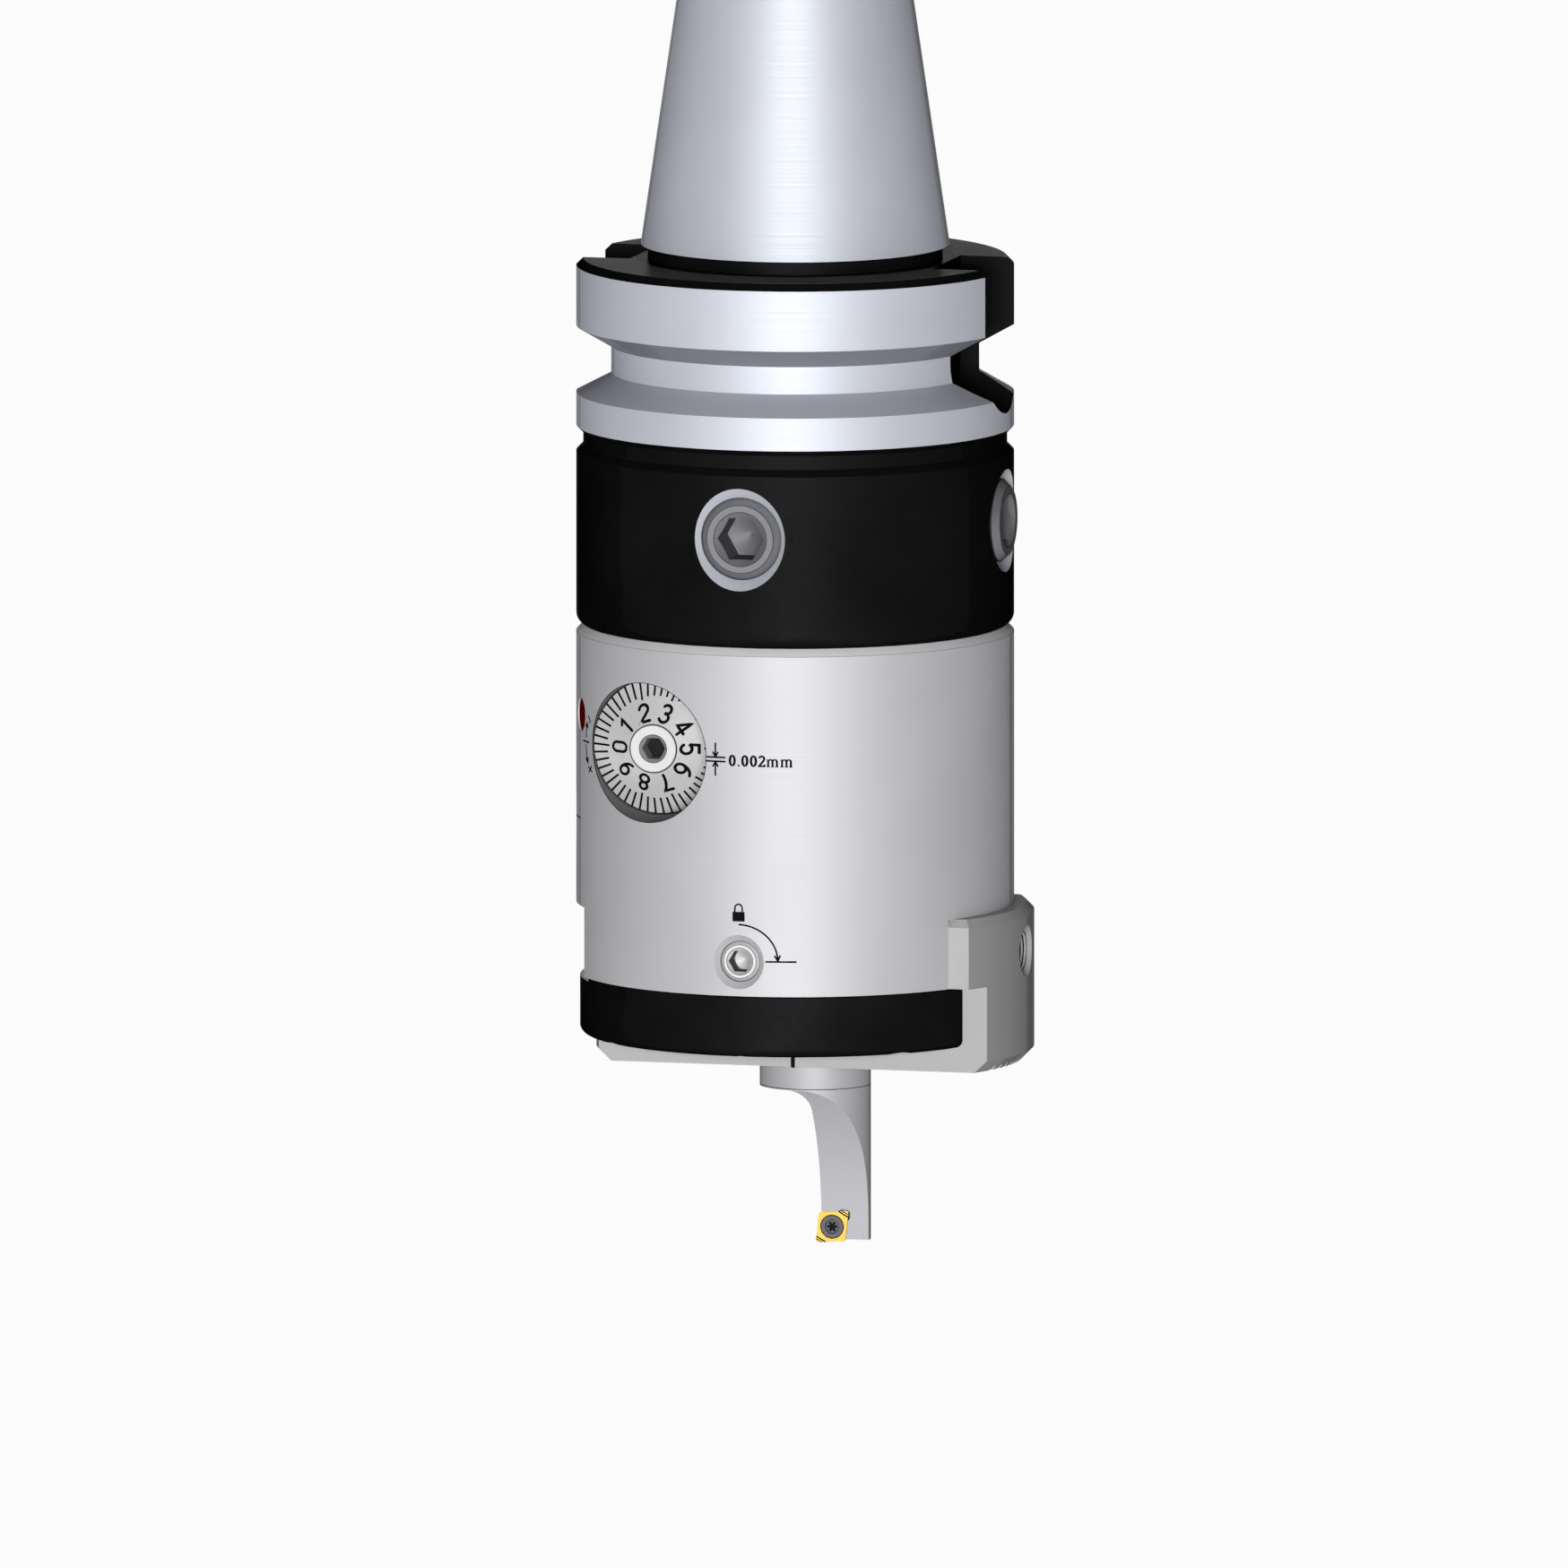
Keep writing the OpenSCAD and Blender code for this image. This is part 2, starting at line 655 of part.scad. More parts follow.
// Outline of the wheel: each tooth rises from its root to its tip along an involute
module wheel_outline() {
    radii = [wheel_base_r, wheel_r - 0.1, wheel_r + 0.3, wheel_tip_r];
    polygon([
        for (i = [0:wheel_teeth - 1]) let (mid = 360 * i / wheel_teeth) each concat(
            [wheel_root_r * [cos(mid - tooth_half(wheel_base_r)), sin(mid - tooth_half(wheel_base_r))]],
            [for (r = radii) r * [cos(mid - tooth_half(r)), sin(mid - tooth_half(r))]],
            [for (k = [3:-1:0]) let (r = radii[k]) r * [cos(mid + tooth_half(r)), sin(mid + tooth_half(r))]],
            [wheel_root_r * [cos(mid + tooth_half(wheel_base_r)), sin(mid + tooth_half(wheel_base_r))]]
        )
    ]);
}

module wheel_pin_form(gap) {
    translate([0, 0, wheel_left_x - wheel_hub_len / 2]) rotate([90, 0, 0])
        cylinder(r = wheel_pin_r + gap, h = 2 * wheel_hub_r + 2 * gap, center = true);
}

module worm_wheel() {
    lead_angle = atan(worm_pitch / (2 * PI * worm_r));
    wheel_twist = wheel_w * tan(lead_angle) / wheel_r * 180 / PI;
    color("goldenrod") at_lead() difference() {
        union() {
            translate([0, 0, wheel_left_x]) rotate([0, 0, 180 / wheel_teeth - wheel_twist / 2])
                linear_extrude(wheel_w, twist = -wheel_twist, slices = 2) wheel_outline();
            translate([0, 0, wheel_left_x - wheel_hub_len]) cylinder(r = wheel_hub_r, h = wheel_hub_len + eps);
        }
        translate([0, 0, wheel_left_x - wheel_hub_len - eps])
            cylinder(r = wheel_bore_r + slip, h = wheel_w + wheel_hub_len + 2 * eps);
        wheel_pin_form(slip);
    }
}

module wheel_pin() {
    color("gray") at_lead() wheel_pin_form(0);
}

module lead_screw() {
    thread_x = nut_room_x + 0.4;
    turns = floor((nut_room_end_x - 0.2 - thread_x) / lead_pitch);
    thread_end = thread_x + turns * lead_pitch;
    color("silver") at_lead() difference() {
        rotate_extrude() polygon(concat(
            [
                [0, lead_left_x], [wheel_bore_r - 0.4, lead_left_x], [wheel_bore_r, lead_left_x + 0.4],
                [wheel_bore_r, collar_end_x - lead_collar_w], [lead_collar_r, collar_end_x - lead_collar_w],
                [lead_collar_r, collar_end_x], [mid_journal_r, collar_end_x], [mid_journal_r, thread_x - 1],
                [lead_r - thread_depth, thread_x - 0.4]
            ],
            [
                for (i = [0:turns - 1]) each [
                    [lead_r - thread_depth, thread_x + i * lead_pitch],
                    [lead_r, thread_x + (i + 0.4) * lead_pitch],
                    [lead_r, thread_x + (i + 0.6) * lead_pitch]
                ]
            ],
            [
                [lead_r - thread_depth, thread_end], [end_journal_r, thread_end + 0.2],
                [end_journal_r, end_bush_x - 0.3], [0, end_bush_x - 0.3]
            ]
        ));
        wheel_pin_form(slip);
    }
}

module lead_screw_bush() {
    color("goldenrod") at_lead() ring(mid_journal_r + run, mid_bush_r - slip, wheel_room_x, nut_room_x);
}

module end_bush() {
    color("goldenrod") at_lead()
        ring(end_journal_r + run, end_bush_r - slip, nut_room_end_x + pin_end_gap, end_bush_x - thrust_gap);
}

module bearing_plug() {
    color("dimgray") at_lead() difference() {
        translate([0, 0, plug_outer_x]) cylinder(r = wheel_room_r - slip, h = plug_inner_x - plug_outer_x);
        translate([0, 0, lead_left_x - air])
            cylinder(r = wheel_bore_r + run, h = plug_inner_x - lead_left_x + eps);
        translate([-wheel_room_r, -plug_slot_w / 2, plug_outer_x - eps])
            cube([2 * wheel_room_r, plug_slot_w, plug_slot_depth + eps]);
    }
}

module plug_washer() {
    color("darkgray") at_lead()
        spring_washer(wheel_bore_r + washer_gap, wheel_hub_r + 1, plug_inner_x + slip,
                      wheel_left_x - wheel_hub_len - run);
}

module drive_nut() {
    foot_bottom = guide_top + nut_seat_depth;
    color("goldenrod") translate([slide_offset + nut_x, 0, 0]) difference() {
        along_x(-nut_len / 2, nut_len / 2) {
            translate([0, -lead_z]) circle(r = nut_body_r);
            translate([-nut_body_r, -foot_bottom]) square([2 * nut_body_r, foot_bottom - lead_z]);
            translate([-nut_foot_w / 2, -foot_bottom]) square([nut_foot_w, nut_foot_h]);
        }
        along_x(-nut_len, nut_len) translate([0, -lead_z]) circle(r = lead_r + run);
        for (y = [-1, 1] * nut_screw_y)
            translate([0, y, -foot_bottom - eps])
                cylinder(d = nut_screw_d, h = nut_foot_h - nut_thread_end_gap + eps);
    }
}

module nut_screws() {
    shank = nut_screw_seat_z - guide_top - nut_seat_depth + nut_foot_h - nut_screw_end_gap;
    color("dimgray") for (y = [-1, 1] * nut_screw_y)
        translate([slide_offset + nut_x, y, -nut_screw_seat_z]) cap_screw(nut_screw_d, shank);
}

module stop_pin() {
    below = stop_depth - pin_end_gap;
    color("gray") translate([stop_x, stop_y, -guide_top - below]) cylinder(r = stop_r, h = below + stop_hold);
}

// Slide before its bores: a T section with turned ends
module slide_form() {
    top_y = guide_w / 2 - edge_chamfer;
    intersection() {
        along_x(-body_d, body_d) polygon([
            [-guide_w / 2, -slide_shoulder], [-guide_w / 2, -slide_top - edge_chamfer], [-top_y, -slide_top],
            [top_y, -slide_top], [guide_w / 2, -slide_top - edge_chamfer], [guide_w / 2, -slide_shoulder],
            [stem_w / 2, -slide_shoulder], [stem_w / 2, -slide_end], [-stem_w / 2, -slide_end],
            [-stem_w / 2, -slide_shoulder]
        ]);
        rotate_extrude() polygon([
            [0, -slide_top], [body_r - edge_chamfer, -slide_top], [body_r, -slide_top - edge_chamfer],
            [body_r, -slide_end + foot_chamfer],
            [body_r - foot_chamfer, -slide_end], [0, -slide_end]
        ]);
    }
}

// One serration groove along X
module serration(y) {
    along_x(-body_d, body_d) translate([y, -slide_end])
        polygon([[-serration_half_w, -slip], [0, serration_depth], [serration_half_w, -slip]]);
}

module slide() {
    color("lightgray") translate([slide_offset, 0, 0]) difference() {
        slide_form();
        translate([-body_d, -guide_w, -foot_top])
            cube([body_d + stem_end_x, 2 * guide_w, foot_top - slide_shoulder]);
        for (i = [0:serration_count - 1]) serration((i - (serration_count - 1) / 2) * serration_pitch);
        translate([0, 0, -slide_end - eps])
            cylinder(r = bar_d / 2 + slip, h = slide_end - bar_top + pin_end_gap + eps);
        translate([nut_x - nut_len / 2 - slip, -nut_foot_w / 2 - slip, -guide_top - nut_seat_depth])
            cube([nut_len + 2 * slip, nut_foot_w + 2 * slip, nut_seat_depth + eps]);
        for (y = [-1, 1] * nut_screw_y) translate([nut_x, y, 0]) {
            translate([0, 0, -slide_end - eps]) cylinder(d = nut_screw_d + air, h = slide_end - guide_top + eps);
            translate([0, 0, -slide_end - eps]) cylinder(r = cap_room_r, h = slide_end - nut_screw_seat_z + eps);
        }
        hull() for (x = [stop_x - slide_travel, stop_x])
            translate([x, stop_y, -slide_top - stop_depth])
                cylinder(r = stop_r + stop_side_gap, h = stop_depth + eps, $fn = 32);
        at_side(90, bar_clamp_z) {
            translate([0, 0, bar_d / 2 - eps]) cylinder(d = lock_d, h = body_r);
            translate([0, 0, body_r - bar_clamp_sink])
                cylinder(d1 = lock_d, d2 = lock_d + 4 * bar_clamp_sink, h = 2 * bar_clamp_sink);
        }
    }
}

module lock_screw() {
    color("gray") at_side(0, lock_z) translate([0, 0, body_r - lock_recess])
        set_screw(lock_d, lock_len, lock_d / 2, lock_dog_d, lock_dog_len);
}

module lock_pad() {
    inner = guide_w / 2 + lock_pad_gap;
    outer = body_r - lock_recess - lock_len - lock_pad_gap;
    color("goldenrod") at_side(0, lock_z) translate([0, 0, inner]) cylinder(d = lock_pad_d, h = outer - inner);
}

module cover_ring() {
    r = ring_d / 2;
    slot_w = stem_w + 2 * ring_slot_gap;
    color("black") difference() {
        rotate_extrude() polygon(concat(
            [[0, -head_end], [r - ring_edge, -head_end], [r, -head_end - ring_edge]],
            arc(r - ring_fillet, -ring_end + ring_fillet, ring_fillet, 0, -90),
            [[0, -ring_end]]
        ));
        translate([slot_end_x, -slot_w / 2, -ring_end - eps]) cube([ring_d, slot_w, ring_h + 2 * eps]);
        translate([slot_end_x + eps - r, -guide_w / 2, -head_end - ring_relief])
            cube([r, guide_w, ring_relief + eps]);
        translate([0, -r, -ring_end]) rotate([0, 45, 0]) cube([ring_notch, 3, ring_notch], center = true);
        at_ring_screws() translate([0, 0, -ring_end - eps]) {
            cylinder(d = nut_screw_d + air, h = ring_h + 2 * eps);
            cylinder(r = cap_room_r, h = cap_head_h + cap_recess + eps);
        }
    }
}

module ring_screws() {
    color("dimgray") at_ring_screws() translate([0, 0, -ring_end + cap_head_h + cap_recess])
        cap_screw(nut_screw_d, ring_screw_shank);
}

module bar_clamp_screw() {
    color("gray") translate([slide_offset, 0, 0]) at_side(90, bar_clamp_z)
        translate([0, 0, body_r - bar_clamp_recess])
            set_screw(lock_d, bar_clamp_len, lock_d / 2, lock_dog_d, lock_dog_len);
}

// Outline of the insert from its tip, seen from the front with Y up
module insert_outline(edge) {
    a = insert_lead;
    b = insert_lead + insert_angle;
    u = [cos(a), sin(a)];
    v = [cos(b), sin(b)];
    mid = insert_edge / 2 * (u + v);
    hull() for (i = [-1, 1], j = [-1, 1])
        translate(mid + (edge / 2 - insert_nose / sin(insert_angle)) * (i * u + j * v)) circle(r = insert_nose, $fn = 16);
}

// A slice of the insert at a depth y behind its face
module insert_slice(edge, y) {
    translate([tip_x, y, -tip_z]) rotate([90, 0, 0]) linear_extrude(insert_slice_t) insert_outline(edge);
}

// Pocket of the insert, open to the front, with a drilled relief in its inner corner
module insert_room() {
    reach = insert_edge - insert_relief_in;
    translate([tip_x, insert_face_y + insert_t, -tip_z]) rotate([90, 0, 0]) linear_extrude(bar_d) {
        insert_outline(insert_edge + 2 * insert_room_gap);
        translate(reach * [insert_span_x, insert_span_z]) circle(r = insert_relief_r, $fn = 48);
    }
}

module boring_bar() {
    r = bar_d / 2;
    fillet_z = -bar_full_end - bar_side_fillet;
    color("gray") translate([slide_offset, 0, 0]) difference() {
        translate([0, 0, -bar_end]) cylinder(r = r, h = bar_end - bar_top);
        translate([0, 0, -bar_top - bar_step]) ring(r - bar_step, r + eps, 0, bar_step + eps);
        translate([-body_r, bar_face_y - bar_arc_r, -bar_tip_plane_z])
            rotate([0, 90, 0]) cylinder(r = bar_arc_r, h = body_d);
        translate([-body_r, bar_face_y - bar_d, -bar_end - eps])
            cube([body_d, bar_d, bar_end - bar_tip_plane_z + eps]);
        rotate([90, 0, 0]) linear_extrude(4 * r, center = true) polygon(concat(
            [[bar_side_x, -bar_end - eps]],
            arc(bar_side_x - bar_side_fillet, fillet_z, bar_side_fillet, 0, 90),
            [[-2 * r, -bar_full_end], [-2 * r, -bar_end - eps]]
        ));
        translate([bar_flat_x, -r, -bar_clamp_z - bar_flat_h / 2]) cube([r, bar_d, bar_flat_h]);
        insert_room();
        translate([insert_mid_x, insert_face_y, -insert_mid_z])
            rotate([-90, 0, 0]) cylinder(r = insert_thread_r, h = insert_screw_len + nut_thread_end_gap);
    }
}

module insert() {
    sink_r = insert_head_r + insert_head_gap;
    color("gold") translate([slide_offset, 0, 0]) difference() {
        hull() {
            insert_slice(insert_edge, insert_face_y + insert_slice_t);
            insert_slice(insert_edge - 2 * insert_t * tan(insert_relief_angle), insert_face_y + insert_t);
        }
        translate([insert_mid_x, insert_face_y - eps, -insert_mid_z]) rotate([-90, 0, 0]) {
            cylinder(r = insert_hole_r, h = insert_t + 2 * eps);
            cylinder(r1 = sink_r + eps, r2 = sink_r - insert_head_h, h = insert_head_h + eps);
        }
    }
}

module insert_screw() {
    color("dimgray") translate([slide_offset + insert_mid_x, insert_face_y, -insert_mid_z])
        rotate([-90, 0, 0]) difference() {
            rotate_extrude() polygon([
                [0, 0], [insert_head_r, 0], [insert_shank_r, insert_head_r - insert_shank_r],
                [insert_shank_r, insert_screw_len], [0, insert_screw_len]
            ]);
            translate([0, 0, -eps]) cylinder(r = insert_dish_r, h = insert_dish_depth + eps);
            for (a = [0:60:120]) rotate([0, 0, a]) translate([-insert_star_d / 2, -insert_star_w / 2, -eps])
                cube([insert_star_d, insert_star_w, insert_star_depth + eps]);
        }
}

module filler_plug() {
    color("darkred") at_side(filler_angle, filler_z)
        translate([0, 0, body_r - filler_depth]) cylinder(d = filler_d, h = filler_depth - filler_recess);
}

holder();
clamp_screws();
head_body();
spigot_o_ring();
drive_pin();
dial();
dial_spindle();
dial_pin();
dial_o_ring();
front_bush();
rear_bush();
spindle_washer();
worm_wheel();
wheel_pin();
lead_screw();
lead_screw_bush();
end_bush();
bearing_plug();
plug_washer();
drive_nut();
nut_screws();
stop_pin();
slide();
lock_screw();
lock_pad();
cover_ring();
ring_screws();
bar_clamp_screw();
boring_bar();
insert();
insert_screw();
filler_plug();
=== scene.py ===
import json
import math

import bmesh
import bpy
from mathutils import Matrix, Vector


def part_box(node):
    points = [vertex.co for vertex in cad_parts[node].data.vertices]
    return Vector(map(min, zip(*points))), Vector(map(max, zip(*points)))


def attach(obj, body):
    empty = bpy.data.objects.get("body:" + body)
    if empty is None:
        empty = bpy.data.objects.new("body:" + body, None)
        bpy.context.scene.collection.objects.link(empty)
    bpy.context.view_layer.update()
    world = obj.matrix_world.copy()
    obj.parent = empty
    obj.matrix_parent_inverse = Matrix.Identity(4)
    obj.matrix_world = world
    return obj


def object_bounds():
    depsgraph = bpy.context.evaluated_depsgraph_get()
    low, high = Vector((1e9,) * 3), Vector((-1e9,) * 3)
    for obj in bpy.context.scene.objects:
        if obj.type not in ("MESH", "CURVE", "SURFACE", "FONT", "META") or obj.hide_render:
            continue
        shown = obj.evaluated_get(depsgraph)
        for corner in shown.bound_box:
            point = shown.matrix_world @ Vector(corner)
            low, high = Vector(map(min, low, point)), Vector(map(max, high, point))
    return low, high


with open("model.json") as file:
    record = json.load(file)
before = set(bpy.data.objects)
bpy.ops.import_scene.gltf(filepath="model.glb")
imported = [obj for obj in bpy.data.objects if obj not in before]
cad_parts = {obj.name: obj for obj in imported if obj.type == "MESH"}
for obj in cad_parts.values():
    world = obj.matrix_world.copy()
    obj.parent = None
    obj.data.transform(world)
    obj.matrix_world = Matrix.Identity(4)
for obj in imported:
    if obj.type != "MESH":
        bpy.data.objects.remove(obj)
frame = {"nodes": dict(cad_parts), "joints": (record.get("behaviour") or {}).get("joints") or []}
NODES = frame["nodes"]
CAD_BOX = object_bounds()
SCENE = bpy.context.scene
MM = 0.001


def low_mm(node):
    """Lowest corner of a node's box"""
    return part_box(node)[0] / MM


def high_mm(node):
    """Highest corner of a node's box"""
    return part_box(node)[1] / MM


def middle_mm(node):
    """Middle of a node's box"""
    return (low_mm(node) + high_mm(node)) / 2


def joint_mm(name):
    """Place of a joint"""
    joint = next(joint for joint in frame["joints"] if joint["name"] == name)
    return Vector(joint["pos_m"]) / MM


# Sizes and places of the part in millimetres, from the frame where it holds them.
# A name that ends in R is a radius, and one that ends in FRONT is the y of a face that looks forward.
BODY_R = high_mm("head_body").x

# Holder: its flange with a gripper groove and two drive slots, and the clamp screws in its collar,
# with the radii where their chamfers and sockets begin
FLANGE_TOP_Z = -2.0
FLANGE_CHAMFER = 1.0
FLANGE_LOW_Z = -26.2
FLANGE_INNER_R = 20.0
TOP_INNER_R = 23.0
GROOVE_Z = -16.6
GROOVE_FLOOR_R = 26.5
GROOVE_FLOOR_HALF = 1.965
GROOVE_MOUTH_HALF = GROOVE_FLOOR_HALF + (BODY_R - GROOVE_FLOOR_R) * math.tan(math.radians(30))
DRIVE_SLOT_R = 8.05
DRIVE_SLOT_Z = -15.55
DRIVE_SLOT_X = 22.5
CLAMP_Z = middle_mm("clamp_screws").z
CLAMP_SINK_R = 7.45
CLAMP_SINK_INNER_R = 17.0
CLAMP_LINE_RADII = (5.94, 4.92, 3.94)

# Head, with the axis of the lead screw
HEAD_CHAMFER = 1.0
HEAD_CHAMFER_Z = low_mm("holder").z - HEAD_CHAMFER
LEAD_Z = joint_mm("lead_screw_turn").z

# Dial in its pocket, and the hub of its spindle with a hex socket
DIAL_X, DIAL_Z = joint_mm("dial_turn").xz
DIAL_AT = (DIAL_X, DIAL_Z)
DIAL_R = high_mm("dial").x - DIAL_X
RIM_R = DIAL_R - 0.05
RIM_FRONT = -19.1
POCKET_R = DIAL_R + 0.15
POCKET_BACK_Y = -12.0
HUB_R = 3.45
HUB_FRONT = low_mm("dial_spindle").y
SOCKET_MOUTH_R = 2.0
SOCKET_DEPTH = 3.6

# Lock screw with a hex socket
LOCK_Z = joint_mm("lock_screw_turn").z
LOCK_FRONT = low_mm("lock_screw").y
LOCK_LINE_RADII = (2.92, 2.42, 1.95)
LOCK_HEX_R = 1.5
LOCK_HEX_CORNER_R = 1.8
LOCK_MOUTH_DEPTH = 0.4

# Slide, the clamp screw in its end, and the boring bar
SLIDE_X = high_mm("slide").x - BODY_R
SLIDE_FOOT_Z = low_mm("slide").z
FOOT_CHAMFER = 1.75
STEM_FRONT = -12.5
SLIDE_CLAMP_Z = middle_mm("bar_clamp_screw").z
SLIDE_CLAMP_R = 3.0
THREAD_DEPTH = 0.28
BAR_LINE_Z = -121.7

# Insert: its cutting tip, the lead of its lower edge and the angle between its edges
INSERT_TIP = Vector((3.15, -144.76))
INSERT_MID = middle_mm("insert_screw").xz
INSERT_FRONT = low_mm("insert").y
INSERT_LEAD = math.radians(3.3)
INSERT_ANGLE = math.radians(80.3)
INSERT_SINK_R = 1.65

# Sizes of the patterns in the metals, in millimetres
LINE_PITCH = 0.35
SPECK = 0.6
HAZE = 20.0

# A zone of a material ends this far off the face that it keeps or leaves out
HAIR = 0.03

# Camera: a parallel view from the right of the front and from a little above, in metres
VIEW_AZIMUTH = math.radians(15.0)
VIEW_ELEVATION = math.radians(7.33)
VIEW_HEIGHT = 0.22556
VIEW_MIDDLE_Z = -0.07847
VIEW_SHIFT = -0.00161
VIEW_DISTANCE = 2.0

# Floor and lamps, in metres
FLOOR_DROP = 0.1
FLOOR_HALF = 15
FLOOR_WHITE_SHARE = 0.96
LAMP_AIM = Vector((0, 0, -0.06))


def direction(azimuth, elevation):
    """Unit vector towards an azimuth from the front (-Y) to the right, and an elevation"""
    flat = math.cos(elevation)
    return Vector((math.sin(azimuth) * flat, -math.cos(azimuth) * flat, math.sin(elevation)))


def add_camera():
    """The camera of the photograph's view"""
    data = bpy.data.cameras.new("camera")
    data.type = "ORTHO"
    data.ortho_scale = VIEW_HEIGHT
    data.clip_start = 0.01
    data.clip_end = 60
    camera = bpy.data.objects.new("camera", data)
    SCENE.collection.objects.link(camera)
    side = Vector((math.cos(VIEW_AZIMUTH), math.sin(VIEW_AZIMUTH), 0))
    middle = Vector((0, 0, VIEW_MIDDLE_Z)) + side * VIEW_SHIFT
    camera.location = middle + direction(VIEW_AZIMUTH, VIEW_ELEVATION) * VIEW_DISTANCE
    camera.rotation_euler = (math.radians(90) - VIEW_ELEVATION, 0, VIEW_AZIMUTH)
    SCENE.camera = camera
    SCENE.view_settings.view_transform = "Standard"


def tint(colour, strength):
    """A colour made darker or lighter"""
    return tuple(part * strength for part in colour)


class Graph:
    """A material with one Principled shader, and short calls that add nodes to it; its lengths are in mm"""

    def __init__(self, name, **values):
        self.mat = bpy.data.materials.new(name)
        self.mat.use_nodes = True
        self.tree = self.mat.node_tree
        self.shader = self.tree.nodes["Principled BSDF"]
        for key, value in values.items():
            self.shader.inputs[key.replace("_", " ")].default_value = value
        in_mm = self.node("ShaderNodeVectorMath", operation="SCALE")
        self.link(self.node("ShaderNodeTexCoord").outputs["Object"], in_mm.inputs[0])
        in_mm.inputs["Scale"].default_value = 1 / MM
        self.coords = in_mm.outputs[0]
        split = self.node("ShaderNodeSeparateXYZ")
        self.link(self.coords, split.inputs[0])
        self.x, self.y, self.z = split.outputs

    def node(self, kind, **settings):
        made = self.tree.nodes.new(kind)
        for key, value in settings.items():
            setattr(made, key, value)
        return made

    def link(self, source, socket):
        self.tree.links.new(source, socket)

    def feed(self, value, socket):
        """Link a socket to another one, or set it to a colour or a number"""
        if isinstance(value, bpy.types.NodeSocket):
            self.link(value, socket)
        elif isinstance(value, tuple):
            socket.default_value = (*value, 1)
        else:
            socket.default_value = value

    def math(self, operation, *values):
        made = self.node("ShaderNodeMath", operation=operation)
        for value, socket in zip(values, made.inputs):
            self.feed(value, socket)
        return made.outputs[0]

    def above(self, value, edge):
        return self.math("GREATER_THAN", value, edge)

    def below(self, value, edge):
        return self.math("LESS_THAN", value, edge)

    def near(self, value, middle, reach):
        """1 where a number is less than reach away from a middle"""
        return self.below(self.math("ABSOLUTE", self.math("SUBTRACT", value, middle)), reach)

    def both(self, *parts):
        """1 where all the parts are 1"""
        result = parts[0]
        for part in parts[1:]:
            result = self.math("MULTIPLY", result, part)
        return result

    def either(self, *parts):
        """1 where any of the parts is 1"""
        result = parts[0]
        for part in parts[1:]:
            result = self.math("MAXIMUM", result, part)
        return result

    def radius(self, axis="z", centre=(0.0, 0.0)):
        """Distance from a line along an axis; centre gives its other two coordinates"""
        pair = {"x": (self.y, self.z), "y": (self.x, self.z), "z": (self.x, self.y)}[axis]
        squares = []
        for value, middle in zip(pair, centre):
            offset = self.math("SUBTRACT", value, middle)
            squares.append(self.math("MULTIPLY", offset, offset))
        return self.math("SQRT", self.math("ADD", *squares))

    def turned(self, axis="z", centre=(0.0, 0.0)):
        """A number that stays the same all the way round an axis, as the marks of a lathe do"""
        along = {"x": self.x, "y": self.y, "z": self.z}[axis]
        return self.math("ADD", self.radius(axis, centre), along)

    def lines(self, along, pitch):
        """Uneven fine lines across a number, from 0 to 1"""
        made = self.node("ShaderNodeTexNoise", noise_dimensions="1D")
        self.link(along, made.inputs["W"])
        made.inputs["Scale"].default_value = 1 / pitch
        made.inputs["Detail"].default_value = 3.0
        made.inputs["Roughness"].default_value = 0.6
        return made.outputs[0]

    def noise(self, size, detail=3.0):
        """Cloudy noise of that size, from 0 to 1"""
        made = self.node("ShaderNodeTexNoise")
        self.link(self.coords, made.inputs["Vector"])
        made.inputs["Scale"].default_value = 1 / size
        made.inputs["Detail"].default_value = detail
        made.inputs["Roughness"].default_value = 0.55
        return made.outputs[0]

    def between(self, value, low, high):
        """A number from low to high as the middle part of a noise goes from low to high"""
        made = self.node("ShaderNodeMapRange")
        self.link(value, made.inputs["Value"])
        made.inputs["From Min"].default_value = 0.3
        made.inputs["From Max"].default_value = 0.7
        made.inputs["To Min"].default_value = low
        made.inputs["To Max"].default_value = high
        return made.outputs[0]

    def around(self, value, middle, reach):
        """A number that a noise moves up to reach away from a middle"""
        return self.between(value, middle - reach, middle + reach)

    def mix(self, factor, a, b):
        """Colour a where the factor is 0 and colour b where it is 1"""
        made = self.node("ShaderNodeMix", data_type="RGBA")
        self.feed(factor, made.inputs[0])
        self.feed(a, made.inputs[6])
        self.feed(b, made.inputs[7])
        return made.outputs[2]

    def mix_number(self, factor, a, b):
        """Number a where the factor is 0 and number b where it is 1"""
        made = self.node("ShaderNodeMix", data_type="FLOAT")
        self.feed(factor, made.inputs[0])
        self.feed(a, made.inputs[2])
        self.feed(b, made.inputs[3])
        return made.outputs[0]

    def shades(self, colour, low=0.965, high=1.03, cloud=HAZE):
        """A colour that drifts between two strengths of itself"""
        haze = self.between(self.noise(cloud), 0.0, 1.0)
        return self.mix(haze, tint(colour, low), tint(colour, high))

    def set(self, name, value):
        self.feed(value, self.shader.inputs[name])

    def bump(self, height, distance):
        """Add relief to the relief that the shader has"""
        made = self.node("ShaderNodeBump")
        normal = self.shader.inputs["Normal"]
        self.link(height, made.inputs["Height"])
        made.inputs["Distance"].default_value = distance * MM
        if normal.is_linked:
            self.link(normal.links[0].from_socket, made.inputs["Normal"])
        self.link(made.outputs[0], normal)


# Satin metal has no clear gloss over it, and turns darker towards its outline
SATIN = {"Specular_Tint": (0.0, 0.0, 0.0, 1), "Specular_IOR_Level": 0.0}
# The insert's coating has a faint warm gloss
COATED = {"Specular_Tint": (0.6, 0.5, 0.3, 1), "Specular_IOR_Level": 0.2}
# Plastic and filled marks have none
MATT = {"Specular_IOR_Level": 0.0}

